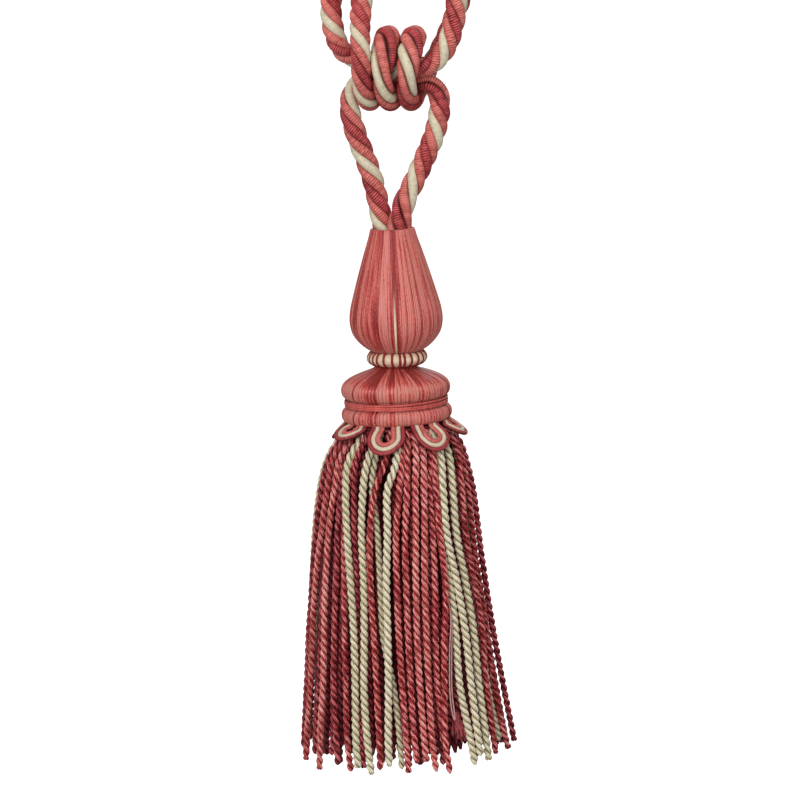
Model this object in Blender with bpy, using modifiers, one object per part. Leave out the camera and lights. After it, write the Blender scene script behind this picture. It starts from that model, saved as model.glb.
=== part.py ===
"""Curtain tieback tassel, as it hangs from its rope loops.

One four-strand rope starts in the neck of the tassel, passes through a barrel knot, makes an
arch, winds three times round itself, makes a second arch and comes back to the neck.  Below it
hang a turned pear, a ribbed bead, a turned cap with a wound groove, eight looped petals of gimp
and a skirt of cords.  Lengths are in millimetres here and become metres in the meshes.
+Z is up, -Y is the front, and the origin is under the crown of the two arches.
"""

import math
import random

import bpy
import numpy as np
from mathutils import Matrix, Vector

MM = 0.001
SMOOTH_ANGLE = 60.0         # edges flatter than this are shaded smooth

# ---------------------------------------------------------------- the rope
STRANDS = 4
STRAND_RADIUS = 2.4
STRAND_CENTRE = 2.85        # from the rope's middle to a strand's middle
ROPE_RADIUS = STRAND_CENTRE + STRAND_RADIUS
GROOVE_RADIUS = 3.95        # from the rope's middle to the furrow between two strands
SHOULDER_ANGLE = 19.0       # half the width of a strand's back, in degrees
LAY = 30.0                  # rope length in which a strand goes once round
RINGS_PER_LAY = 9
KNOT_SQUEEZE = 0.91         # the rope's thickness in the knot, as a share of its free thickness
KNOT_REACH = (22.0, 32.0)   # from the knot's middle: squeezed up to the first, free from the second
NECK_SQUEEZE = 0.80         # the same share where the rope goes down into the neck
NECK_REACH = (2.0, 9.75)    # from either end of the rope: squeezed up to the first, free from the second

# ---------------------------------------------------------------- the barrel knot
KNOT_X, KNOT_Z = -7.4, -58.0
WRAP_RADIUS = 15.5
WRAP_STEPS = 28             # route points in the wraps, one every 30 degrees
# How the wraps move to +X: turns made since the first one crossed the front, x.
WRAP_COURSE = (
    # turns, x
    (0.0, -19.8), (0.1, -18.9), (0.2, -16.5), (0.3, -14.5), (0.5, -11.1), (0.75, -7.2), (1.0, -9.9),
    (1.1, -9.0), (1.2, -6.8), (1.3, -4.6), (1.5, 0.0), (1.75, 5.4), (2.0, 2.2), (2.1, 1.9),
    (2.2, 3.2), (2.3, 5.3), (2.4, 7.6),
)

# ---------------------------------------------------------------- the tassel's own axis
NECK_X, NECK_Z = -5.26, -134.8
LEAN = 1.8                  # the tassel's foot swings to +X by this many degrees
TURNED_STEPS = 32

# How far each turned piece sits off the tassel's axis, and how much more it leans than the tassel.
SEATS = {
    # piece: (depth it leans about, sway to +X, further lean in degrees)
    "pear": (0.0, 0.2, 0.5),
    "bead": (0.0, -0.05, 0.5),
    "cap": (79.0, -0.65, 0.9),
    "groove_winding": (79.0, -0.65, 0.9),
}

# The socket in the pear's top, from its floor to the rim.
SOCKET = (
    # depth, radius
    (5.9, 0.0), (5.9, 9.45), (2.0, 9.8), (-1.0, 10.15),
)

# Rows of a turned profile: depth below the neck's rim, radius.
PEAR = (
    # depth, radius
    (-1.2, 10.3), (-0.7, 10.6), (3.2, 11.6), (10.4, 13.95), (20.5, 17.05), (32.0, 20.35),
    (38.0, 21.85), (43.0, 22.35), (46.5, 22.0), (49.5, 21.1), (52.4, 19.3), (55.3, 16.6),
    (57.3, 13.9), (58.2, 12.2),
)
BEAD = (
    # depth, radius
    (58.5, 11.7), (59.1, 13.1), (60.4, 14.1), (61.8, 14.4), (63.1, 13.85), (64.3, 12.3), (65.2, 9.8),
)
BEAD_RIBS = 24
BEAD_FURROW = 0.7           # depth of the furrow that a dividing cord lies in
BEAD_FADE = 1.5             # the furrow fades out where the bead is only this much wider than its foot
CAP = (
    # depth, radius
    (65.6, 9.0), (66.9, 11.5), (68.4, 15.8), (69.9, 19.75), (71.4, 22.75), (73.0, 24.85),
    (74.8, 26.0), (76.6, 26.3), (78.6, 25.9), (79.9, 25.0), (80.5, 23.6),
    (84.8, 23.6), (85.3, 25.2), (86.4, 26.2), (88.0, 26.6), (89.8, 26.4), (91.1, 25.6), (91.7, 24.4),
)

# The threads wound in the cap's groove, as one band with a ridge for each thread.
GROOVE_TOP, GROOVE_FLOOR = 80.9, 23.9
THREADS = 3
THREAD_WIDTH = 1.18
THREAD_CREST, THREAD_DIP = 24.95, 24.4

# ---------------------------------------------------------------- the gimp petals
# How each petal hangs: where it is sewn on, how far its legs run before the bend, and its slope from the
# vertical, in degrees, at the root and at a plain petal's tip.
PETALS = (
    # angle, leg, slope at the root, slope at the tip
    (-56.3, 0.8, 68.0, 54.0), (-11.3, 5.1, 64.0, 25.0), (33.0, 4.7, 64.0, 26.0), (78.4, 0.2, 60.0, 44.0),
    (123.7, 3.6, 62.0, 32.0), (168.7, 4.8, 64.0, 28.0), (213.7, 4.2, 62.0, 30.0), (258.7, 0.4, 50.0, 12.0),
)
GIMP_CORD = 2.4             # width of one of the three cords of a petal
GIMP_CREST, GIMP_DIP = 1.1, 0.35      # height of a cord's back and of the furrow between two cords
GIMP_EDGE = (3.48, 0.2)     # the band's outer edge: from its middle line, height
PETAL_ROOT_RADIUS, PETAL_ROOT_DEPTH = 26.0, 93.5
PETAL_LENGTH = 15.0
BEND_RADIUS = 6.1
BEND_STEPS = 7
SLOPE_STEPS = 30

# ---------------------------------------------------------------- the skirt of cords
PLATE_TOP, PLATE_THICK = 92.45, 1.5
STRANDS_ROUND = 56
ROOT_SHARE = 0.70           # share of the room between two roots that a cord takes
CORD_WIDTH = 3.5
CORD_GAP = 0.55
SKIRT_FOOT = 256.0

# Where the outer cords run: depth below the neck, radius, sideways sway.
OUTER_CORDS = (
    # depth, radius, sway
    (97.6, 25.6, 0.0), (104.0, 29.8, -0.9), (112.0, 33.0, -1.8), (126.0, 36.3, -2.2),
    (160.0, 40.2, -2.8), (205.0, 45.0, -1.8), (256.0, 51.2, 0.2),
)
MIDDLE_CORDS = (
    # depth, radius, sway
    (104.0, 23.8, -0.7), (126.0, 30.8, -2.2), (180.0, 36.6, -2.4), (256.0, 44.6, 0.2),
)
INNER_CORDS = (
    # depth, radius, sway
    (112.0, 18.5, -1.2), (180.0, 26.5, -2.4), (256.0, 34.5, 0.2),
)
# Cords under the plate, row by row: outer and inner edge of their roots, places to each cord, their course.
CORD_ROWS = (
    # outer, inner, places each, course
    (24.6, 22.2, 1, OUTER_CORDS),
    (20.4, 18.0, 2, MIDDLE_CORDS),
    (16.2, 13.8, 2, INNER_CORDS),
)
# How much longer or shorter the cords are: degrees from the front, change of length.
FOOT_LEVEL = (
    # angle, longer
    (-180.0, 1.5), (-90.0, 3.0), (0.0, -0.5), (90.0, -4.0), (180.0, 1.5),
)
FOOT_SCATTER = 2.5
WAVE = 0.35                 # how far a cord wanders in and out
WAVE_TURN = 5.0             # how much of that wave, in radians, a cord's length holds
WAVE_FREE = 3.0             # the wave has its full reach after one part in this many of the length
CHANCE_SEED = 7

# ---------------------------------------------------------------- colours
ROSE = (0.44, 0.085, 0.085, 1.0)
RED = (0.25, 0.022, 0.028, 1.0)
CREAM = (0.60, 0.52, 0.38, 1.0)

# The rope's route, run by run, as x, y, z.
LEFT_LEG = (
    (-9.1, 2.6, -139.9), (-9.2, 2.6, -135.4), (-10.3, 2.3, -130.6), (-11.05, 1.8, -126.0),
    (-12.1, 1.2, -120.8), (-14.3, 0.4, -111.4), (-17.6, 0.0, -101.6), (-21.3, 0.0, -92.0),
    (-24.2, 0.0, -83.0), (-25.4, 0.2, -75.0), (-24.1, 0.6, -69.0), (-21.0, 0.0, -65.2),
)
FRONT_CORE = (
    (-17.2, -0.7, -63.2), (-13.0, -2.9, -61.9), (-7.4, -4.6, -60.0), (-1.5, -5.1, -58.6),
    (3.5, -5.4, -57.7), (8.5, -6.1, -56.8), (12.6, -6.1, -55.8),
)
RIGHT_INNER_RUN = (
    (16.0, -5.9, -53.4), (18.9, -6.1, -49.8), (21.4, -6.3, -45.0), (23.3, -6.3, -39.0),
    (24.7, -6.3, -32.0), (25.4, -6.3, -24.5),
)
LEFT_INNER_RUN = (
    (-19.5, -8.3, -25.5), (-20.1, -11.2, -32.6), (-20.3, -13.7, -40.0), (-19.9, -15.2, -48.6),
)
RIGHT_OUTER_RUN = (
    (8.6, 12.9, -66.3), (12.2, 14.6, -59.6), (16.2, 13.6, -52.6), (20.0, 11.6, -45.4),
    (23.0, 9.6, -38.0), (25.6, 7.9, -30.4),
)
LEFT_OUTER_RUN = (
    (-34.1, 5.2, -32.8), (-33.2, 4.2, -39.0), (-31.3, 3.1, -45.2), (-28.2, 2.4, -50.2),
    (-24.2, 2.6, -52.8), (-19.2, 3.8, -54.1),
)
BACK_CORE = (
    (-13.4, 4.7, -54.9), (-7.4, 4.9, -55.9), (-2.0, 5.1, -57.5), (2.2, 4.9, -59.6),
    (5.6, 3.9, -61.6), (9.2, 1.7, -63.5),
)
RIGHT_LEG = (
    (13.2, -0.1, -65.4), (16.4, -0.5, -69.2), (17.6, -0.4, -74.8), (16.8, 0.0, -81.6),
    (14.9, 0.0, -89.4), (11.9, 0.0, -97.0), (8.6, 0.0, -104.6), (5.2, -0.4, -111.8),
    (1.9, -1.2, -119.0), (0.35, -1.8, -125.0), (-0.6, -2.4, -130.4), (-1.1, -2.6, -135.4),
    (-1.1, -2.6, -139.9),
)
ARCH_CROWN = ROPE_RADIUS + 0.05      # the arches' undersides touch the origin's level
INNER_ARCH = (3.0, 22.5, -6.3, 0.0)  # middle x, radius, y, degrees at which the arch begins
OUTER_ARCH = (-2.8, 31.3, 6.3, 12.0)
ARCH_STEPS = 6


# ================================================================ small helpers

def make_collections(name):
    """The collection that holds the finished pieces."""
    collection = bpy.data.collections.new(name)
    bpy.context.scene.collection.children.link(collection)
    return collection


def make_material(name, colour, roughness):
    """A plain cloth finish."""
    material = bpy.data.materials.new(name)
    material.use_nodes = True
    shader = material.node_tree.nodes["Principled BSDF"]
    shader.inputs["Base Color"].default_value = colour
    shader.inputs["Roughness"].default_value = roughness
    shader.inputs["Metallic"].default_value = 0.0
    material.diffuse_color = colour
    return material


def add_object(name, vertices, faces, material, collection):
    """A mesh object from points in millimetres."""
    mesh = bpy.data.meshes.new(name)
    mesh.from_pydata([Vector(point) * MM for point in vertices], [], faces)
    mesh.materials.append(material)
    mesh.update()
    part = bpy.data.objects.new(name, mesh)
    collection.objects.link(part)
    return part


def smooth_shading(part):
    """Smooth shading with sharp folds."""
    part.data.shade_smooth()
    part.data.set_sharp_from_angle(angle=math.radians(SMOOTH_ANGLE))


def loft(rings, closed=False):
    """Join rings of equally many points into one skin; an open run gets a flat cap at each end."""
    count = len(rings[0])
    vertices = [tuple(point) for ring in rings for point in ring]
    faces = []
    spans = len(rings) if closed else len(rings) - 1
    for row in range(spans):
        here = row * count
        there = (row + 1) % len(rings) * count
        for k in range(count):
            after = (k + 1) % count
            faces.append((here + k, here + after, there + after, there + k))
    if not closed:
        last = (len(rings) - 1) * count
        faces.append(tuple(range(count - 1, -1, -1)))
        faces.append(tuple(range(last, last + count)))
    return vertices, faces


def table_value(rows, at, column):
    """Read a table of rows between its first column's values."""
    keys = [row[0] for row in rows]
    values = [row[column] for row in rows]
    return float(np.interp(at, keys, values))


# ================================================================ the rope's route

def arch(arch_row):
    """Round part of the rope over the hook, from its right foot to its left one."""
    middle, radius, depth, first = arch_row
    foot = ARCH_CROWN - radius
    points = []
    for turn in np.radians(np.linspace(first, 180.0, ARCH_STEPS + 1)):
        points.append((middle + radius * math.cos(turn), depth, foot + radius * math.sin(turn)))
    return points


def wrap_points():
    """Turns round the knot's core: down the front and up the back, each turn beside the one before."""
    course = smooth_curve(np.array(WRAP_COURSE))
    points = []
    for k in range(WRAP_STEPS + 1):
        turn = math.radians(30.0 * k)
        x = float(np.interp(k / 12, course[:, 0], course[:, 1]))
        points.append((x, -WRAP_RADIUS * math.cos(turn), KNOT_Z - WRAP_RADIUS * math.sin(turn)))
    return points


def rope_route():
    """Every point of the rope in order, from one end in the neck to the other."""
    route = list(LEFT_LEG) + list(FRONT_CORE) + list(RIGHT_INNER_RUN)
    route += arch(INNER_ARCH)
    route += list(LEFT_INNER_RUN) + wrap_points() + list(RIGHT_OUTER_RUN)
    route += arch(OUTER_ARCH)
    route += list(LEFT_OUTER_RUN) + list(BACK_CORE) + list(RIGHT_LEG)
    return np.array(route)


def smooth_curve(points, per_span=16):
    """A curve through all points whose slope at each one is weighed by its two chords."""
    chords = np.linalg.norm(np.diff(points, axis=0), axis=1)
    knots = np.concatenate([[0.0], np.cumsum(np.sqrt(chords))])
    slopes = np.gradient(points, knots, axis=0)
    share = np.linspace(0.0, 1.0, per_span, endpoint=False)[:, None]
    pieces = []
    for k in range(len(points) - 1):
        span = knots[k + 1] - knots[k]
        stay = 2 * share ** 3 - 3 * share ** 2 + 1
        leave = share ** 3 - 2 * share ** 2 + share
        arrive = share ** 3 - share ** 2
        pieces.append(stay * points[k] + leave * span * slopes[k]
                      + (1 - stay) * points[k + 1] + arrive * span * slopes[k + 1])
    pieces.append(points[-1:])
    return np.concatenate(pieces)


def even_steps(curve, step):
    """The same curve with its points a step apart."""
    lengths = np.concatenate([[0.0], np.cumsum(np.linalg.norm(np.diff(curve, axis=0), axis=1))])
    count = int(round(lengths[-1] / step)) + 1
    stations = np.linspace(0.0, lengths[-1], count)
    return np.stack([np.interp(stations, lengths, curve[:, axis]) for axis in range(3)], axis=1), stations


def carried_frames(curve):
    """Two cross directions at each point, carried along the curve without turning about it."""
    tangents = np.gradient(curve, axis=0)
    tangents /= np.linalg.norm(tangents, axis=1)[:, None]
    side = np.cross(tangents[0], (0.0, 1.0, 0.0))
    sides = []
    for tangent in tangents:
        side = side - tangent * np.dot(side, tangent)
        side = side / np.linalg.norm(side)
        sides.append(side)
    sides = np.array(sides)
    return sides, np.cross(tangents, sides)


def rope_scale(curve, stations):
    """How much the rope is squeezed at each station: in the knot and in the neck."""
    out_of_knot = np.linalg.norm(curve - (KNOT_X, 0.0, KNOT_Z), axis=1)
    scale = np.interp(out_of_knot, KNOT_REACH, (KNOT_SQUEEZE, 1.0))
    from_end = np.minimum(stations, stations[-1] - stations)
    return np.minimum(scale, np.interp(from_end, NECK_REACH, (NECK_SQUEEZE, 1.0)))


def rope_section():
    """Angles and radii round the rope: two shoulders on each strand, then the furrow."""
    angles, radii = [], []
    for strand in range(STRANDS):
        middle = 360.0 * strand / STRANDS
        angles += [middle - SHOULDER_ANGLE, middle + SHOULDER_ANGLE, middle + 180.0 / STRANDS]
        radii += [ROPE_RADIUS, ROPE_RADIUS, GROOVE_RADIUS]
    return np.radians(angles), np.array(radii)


def build_rope(collection, material):
    """The rope: a lobed section carried along the route while it turns left-handed once a lay."""
    curve, stations = even_steps(smooth_curve(rope_route()), LAY / RINGS_PER_LAY)
    sides, ups = carried_frames(curve)
    scale = rope_scale(curve, stations)
    angles, radii = rope_section()
    rings = []
    for k, centre in enumerate(curve):
        turned = angles - 2 * math.pi * stations[k] / LAY
        reach = (radii * scale[k])[:, None]
        rings.append(centre + reach * (np.cos(turned)[:, None] * sides[k] + np.sin(turned)[:, None] * ups[k]))
    rope = add_object("rope", *loft(rings), material, collection)
    smooth_shading(rope)
    return stations[-1]


# ================================================================ turned pieces

def hang(part, tassel):
    """Place a piece on the tassel's leaning axis, a little off it where the piece has a seat of its own."""
    part.parent = tassel
    depth, sway, lean = SEATS.get(part.name, (0.0, 0.0, 0.0))
    pivot = Vector((0.0, 0.0, -depth)) * MM
    part.matrix_local = (Matrix.Translation(pivot + Vector((sway * MM, 0.0, 0.0)))
                         @ Matrix.Rotation(math.radians(-lean), 4, "Y") @ Matrix.Translation(-pivot))


def turned_piece(name, profile, material, collection, tassel):
    """A closed outline from axis to axis, turned with a Screw modifier."""
    points = [(radius, 0.0, -depth) for depth, radius in profile]
    edges = [(k, k + 1) for k in range(len(points) - 1)]
    mesh = bpy.data.meshes.new(name)
    mesh.from_pydata([Vector(point) * MM for point in points], edges, [])
    mesh.materials.append(material)
    part = bpy.data.objects.new(name, mesh)
    collection.objects.link(part)
    screw = part.modifiers.new("turn", "SCREW")
    screw.axis = "Z"
    screw.angle = math.radians(360.0)
    screw.steps = TURNED_STEPS
    screw.render_steps = TURNED_STEPS
    screw.use_merge_vertices = True
    screw.merge_threshold = 0.00001
    screw.use_smooth_shade = True
    hang(part, tassel)
    return part


def build_pear(collection, material, tassel):
    """The pear, with the socket that the two rope ends go down into."""
    foot = ((PEAR[-1][0], 0.0),)
    turned_piece("pear", SOCKET + PEAR + foot, material, collection, tassel)


def build_cap(collection, material, tassel):
    """The turned cap: a low dome, an upper rim, a groove and a lower rim."""
    profile = ((CAP[0][0], 0.0),) + CAP + ((CAP[-1][0], 0.0),)
    turned_piece("cap", profile, material, collection, tassel)


def build_bead(collection, material, tassel):
    """The bead, swollen between the cords that divide it."""
    rings = []
    points_round = BEAD_RIBS * 3
    for depth, radius in BEAD:
        swell = min(1.0, (radius - BEAD[-1][1]) / BEAD_FADE)
        ring = []
        for k in range(points_round):
            turn = 2 * math.pi * k / points_round
            reach = radius - (BEAD_FURROW * swell if k % 3 == 0 else 0.0)
            ring.append((reach * math.sin(turn), -reach * math.cos(turn), -depth))
        rings.append(ring[::-1])
    bead = add_object("bead", *loft(rings), material, collection)
    smooth_shading(bead)
    hang(bead, tassel)


def build_winding(collection, material, tassel):
    """The threads in the groove, side by side in one band."""
    outline = [(GROOVE_TOP, GROOVE_FLOOR)]
    for k in range(THREADS):
        top = GROOVE_TOP + k * THREAD_WIDTH
        outline += [(top, THREAD_DIP), (top + 0.5 * THREAD_WIDTH, THREAD_CREST)]
    foot = GROOVE_TOP + THREADS * THREAD_WIDTH
    outline += [(foot, THREAD_DIP), (foot, GROOVE_FLOOR)]
    rings = []
    for k in range(TURNED_STEPS):
        turn = 2 * math.pi * k / TURNED_STEPS
        rings.append([(reach * math.cos(turn), reach * math.sin(turn), -depth) for depth, reach in outline])
    winding = add_object("groove_winding", *loft(rings, closed=True), material, collection)
    smooth_shading(winding)
    hang(winding, tassel)


# ================================================================ the gimp petals

def petal_slope(root_slope, tip_slope):
    """How a petal leaves the cap: distance run, radius and depth along the slope."""
    run = np.linspace(0.0, PETAL_LENGTH, SLOPE_STEPS + 1)
    lean = np.radians(np.interp(run, (0.0, PETAL_LENGTH), (root_slope, tip_slope)))
    step = run[1] - run[0]
    radius = PETAL_ROOT_RADIUS + np.concatenate([[0.0], np.cumsum(np.sin(lean[:-1]) * step)])
    depth = PETAL_ROOT_DEPTH + np.concatenate([[0.0], np.cumsum(np.cos(lean[:-1]) * step)])
    return run, radius, depth, lean


def petal_line(leg):
    """The middle line of a petal's looped band, as across and along, from root to root."""
    line = [(-BEND_RADIUS, 0.0)]
    for k in range(BEND_STEPS + 1):
        turn = math.pi * k / BEND_STEPS
        line.append((-BEND_RADIUS * math.cos(turn), leg + BEND_RADIUS * math.sin(turn)))
    line += [(BEND_RADIUS, 0.0)]
    return np.array(line)


def gimp_section():
    """Three cords side by side: place across the band and height, counter-clockwise."""
    edge, edge_height = GIMP_EDGE
    backs = [(edge, edge_height)]
    for cord in (1, 0, -1):
        backs.append((cord * GIMP_CORD, GIMP_CREST))
        if cord > -1:
            backs.append(((cord - 0.5) * GIMP_CORD, GIMP_DIP))
    backs.append((-edge, edge_height))
    return backs + [(-GIMP_CORD, -GIMP_CREST), (GIMP_CORD, -GIMP_CREST)]


def build_petal(name, petal, collection, material, tassel):
    """One petal: the three-cord band looped on the slope under the cap."""
    angle, leg, root_slope, tip_slope = petal
    run, radii, depths, leans = petal_slope(root_slope, tip_slope)
    line = petal_line(leg)
    along = np.gradient(line, axis=0)
    along /= np.linalg.norm(along, axis=1)[:, None]
    rings = []
    for (across, down), (run_x, run_y) in zip(line, along):
        ring = []
        for offset, height in gimp_section():
            u = across - run_y * offset
            v = down + run_x * offset
            radius = np.interp(v, run, radii) + min(v, 0.0) * math.sin(leans[0])
            depth = np.interp(v, run, depths) + min(v, 0.0) * math.cos(leans[0])
            lean = np.interp(v, run, leans)
            reach = radius + height * math.cos(lean)
            drop = depth - height * math.sin(lean)
            turn = math.radians(angle) + u / radius
            sway = table_value(OUTER_CORDS, drop, 2)
            ring.append((sway + reach * math.sin(turn), -reach * math.cos(turn), -drop))
        rings.append(ring[::-1])
    petal = add_object(name, *loft(rings), material, collection)
    smooth_shading(petal)
    hang(petal, tassel)


# ================================================================ the skirt

def foot_change(angle, chance):
    """How much a cord at this angle from the front is longer than the plain skirt."""
    degrees = (math.degrees(angle) + 180.0) % 360.0 - 180.0
    return table_value(FOOT_LEVEL, degrees, 1) + chance * FOOT_SCATTER


def cord_rings(angle, rows, places, chance, phase):
    """Four-cornered sections down one cord, from below its root to its foot."""
    spacing = 2 * math.pi / STRANDS_ROUND
    foot = SKIRT_FOOT + foot_change(angle, chance)
    rings = []
    for depth, radius, sway in rows:
        run = (depth - rows[0][0]) / (rows[-1][0] - rows[0][0])
        level = depth + run * (foot - rows[-1][0])
        radius += WAVE * math.sin(phase + WAVE_TURN * run) * min(1.0, WAVE_FREE * run)
        width = min(CORD_WIDTH, radius * spacing * places - CORD_GAP)
        half_turn = 0.5 * width / radius
        ring = []
        for side, out in ((-1, 1), (1, 1), (1, -1), (-1, -1)):
            reach = radius + 0.5 * out * width
            turn = angle + side * half_turn
            ring.append((sway + reach * math.sin(turn), -reach * math.cos(turn), -level))
        rings.append(ring)
    return rings


def build_skirt(collection, material, tassel):
    """A hidden plate under the cap; each cord grows from its own cell of the plate's underside."""
    chances = random.Random(CHANCE_SEED)
    spacing = 2 * math.pi / STRANDS_ROUND
    turns = []
    for place in range(STRANDS_ROUND):
        middle = place * spacing
        turns += [middle - 0.5 * ROOT_SHARE * spacing, middle + 0.5 * ROOT_SHARE * spacing]
    radii = [edge for row in CORD_ROWS for edge in row[:2]]
    foot = PLATE_TOP + PLATE_THICK
    count = len(turns)

    def circle(radius, depth):
        return [(radius * math.sin(turn), -radius * math.cos(turn), -depth) for turn in turns]

    vertices = circle(radii[0], PLATE_TOP)
    for radius in radii:
        vertices += circle(radius, foot)
    faces = [tuple(range(count))]
    last_circle = len(radii) * count
    faces.append(tuple(range(last_circle + count - 1, last_circle - 1, -1)))
    roots = {}
    for band in range(len(radii)):
        upper, lower = band * count, (band + 1) * count
        for k in range(count):
            after = (k + 1) % count
            cell = (upper + after, upper + k, lower + k, lower + after)
            row, is_between_rows = divmod(band - 1, 2)
            place, is_gap = divmod(k, 2)
            if band > 0 and not is_between_rows and not is_gap and place % CORD_ROWS[row][2] == 0:
                roots[row, place] = cell
            else:
                faces.append(cell)
    for (row, place), cell in sorted(roots.items()):
        places_each, rows = CORD_ROWS[row][2:]
        chance, phase = chances.uniform(-1, 1), chances.uniform(0, 2 * math.pi)
        rings = cord_rings(place * spacing, rows, places_each, chance, phase)
        # The cell's corners in a section's order: left outer, right outer, right inner, left inner.
        corners = (cell[1], cell[0], cell[3], cell[2])
        for ring in rings:
            first = len(vertices)
            vertices += ring
            below = tuple(range(first, first + 4))
            for k in range(4):
                after = (k + 1) % 4
                faces.append((corners[k], corners[after], below[after], below[k])[::-1])
            corners = below
        faces.append(corners[::-1])
    skirt = add_object("skirt", vertices, faces, material, collection)
    hang(skirt, tassel)


# ================================================================ the whole tieback

def main():
    for old in list(bpy.data.objects):
        bpy.data.objects.remove(old, do_unlink=True)
    collection = make_collections("curtain_tieback_tassel")
    rope_finish = make_material("rope_yarn", ROSE, 0.7)
    thread_finish = make_material("mould_thread", ROSE, 0.5)
    bead_finish = make_material("bead_floss", CREAM, 0.5)
    winding_finish = make_material("winding_thread", RED, 0.5)
    gimp_finish = make_material("gimp_cord", ROSE, 0.6)
    skirt_finish = make_material("skirt_cord", RED, 0.7)

    tassel = bpy.data.objects.new("tassel_axis", None)
    tassel.matrix_world = (Matrix.Translation(Vector((NECK_X, 0.0, NECK_Z)) * MM)
                           @ Matrix.Rotation(math.radians(-LEAN), 4, "Y"))
    collection.objects.link(tassel)

    length = build_rope(collection, rope_finish)
    print("rope length in mm:", round(length, 1))
    build_pear(collection, thread_finish, tassel)
    build_bead(collection, bead_finish, tassel)
    build_cap(collection, thread_finish, tassel)
    build_winding(collection, winding_finish, tassel)
    for k, petal in enumerate(PETALS):
        build_petal(f"petal_{k + 1}", petal, collection, gimp_finish, tassel)
    build_skirt(collection, skirt_finish, tassel)
    bpy.context.view_layer.update()


main()
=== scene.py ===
# %% [markdown]
# # A curtain tieback tassel
# The object is a tassel that ties a curtain back. One rope of four strands makes two arches over a
# hook, is knotted in a barrel knot and goes down into the neck of the tassel. Under it hang a pear
# bound with thread, a ribbed bead, a turned cap, eight petals of gimp cord and a skirt of cords.
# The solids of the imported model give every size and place. Each cell below dresses one of them.
# Lengths are in millimetres until a mesh is made, because that is how a trimming maker measures.

import math

import bpy
import numpy as np
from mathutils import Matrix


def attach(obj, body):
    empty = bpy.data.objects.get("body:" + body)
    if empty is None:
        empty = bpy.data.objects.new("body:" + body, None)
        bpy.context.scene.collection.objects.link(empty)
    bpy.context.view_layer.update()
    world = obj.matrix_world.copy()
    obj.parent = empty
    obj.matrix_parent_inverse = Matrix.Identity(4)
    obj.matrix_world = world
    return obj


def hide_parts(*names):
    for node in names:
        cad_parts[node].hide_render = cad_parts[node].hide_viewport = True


MM = 0.001
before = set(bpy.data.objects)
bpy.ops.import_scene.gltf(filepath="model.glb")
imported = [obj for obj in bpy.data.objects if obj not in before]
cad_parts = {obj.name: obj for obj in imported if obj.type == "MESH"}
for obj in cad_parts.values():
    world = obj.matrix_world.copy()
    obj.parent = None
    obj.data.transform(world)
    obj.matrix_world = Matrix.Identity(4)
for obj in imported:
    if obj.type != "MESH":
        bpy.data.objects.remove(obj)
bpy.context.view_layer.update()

# %% [markdown]
# ## Camera
# A long lens from two metres away keeps the tassel free of perspective, as in a catalogue picture.
# The camera looks down a little, so that the top of the cap shows. It comes first, because the
# rope's arches have to close just outside its view.

# %% Camera
VIEW_DISTANCE = 2200.0
VIEW_PITCH = 8.8
VIEW_CENTRE = (-1.44, 0.0, -217.2)
VIEW_WIDTH = 384.0

pitch = math.radians(VIEW_PITCH)
lens = bpy.data.cameras.new("catalogue_camera")
lens.sensor_fit = "HORIZONTAL"
lens.angle = 2 * math.atan(VIEW_WIDTH / 2 / VIEW_DISTANCE)
camera = bpy.data.objects.new("catalogue_camera", lens)
backwards = np.array((0.0, -math.cos(pitch), math.sin(pitch)))
camera.location = (np.array(VIEW_CENTRE) + VIEW_DISTANCE * backwards) * MM
camera.rotation_euler = (math.radians(90.0) - pitch, 0.0, 0.0)
bpy.context.scene.collection.objects.link(camera)
bpy.context.scene.camera = camera
print("camera lens in mm:", round(lens.lens, 1))

# %% [markdown]
# ## Shader expressions
# A finish is easier to read as a sum than as a web of nodes. `Term` wraps one socket, and adding or
# multiplying two terms adds the Math node that does it. `Finish` holds one material. Its method
# `node` makes any other node from its type, its settings and the values or links of its sockets.

# %% Shader expressions

class Term:
    """One socket of a finish, which can be added, multiplied and so on."""

    def __init__(self, finish, socket):
        self.finish = finish
        self.socket = socket

    def maths(self, operation, *others):
        sockets = dict(enumerate((self,) + others))
        return self.finish.node("ShaderNodeMath", {"operation": operation}, sockets)

    def __add__(self, other):
        return self.maths("ADD", other)

    def __mul__(self, other):
        return self.maths("MULTIPLY", other)

    def __sub__(self, other):
        return self.maths("SUBTRACT", other)

    def __rsub__(self, other):
        return (self * -1.0) + other

    def __truediv__(self, other):
        return self.maths("DIVIDE", other)

    def sine(self):
        return self.maths("SINE")

    def floor(self):
        return self.maths("FLOOR")

    def fraction(self):
        return self.maths("FRACT")

    def size(self):
        """The value without its sign."""
        return self.maths("ABSOLUTE")

    def held(self):
        """The value kept between 0 and 1."""
        return self.finish.node("ShaderNodeClamp", {}, {"Value": self})


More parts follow.
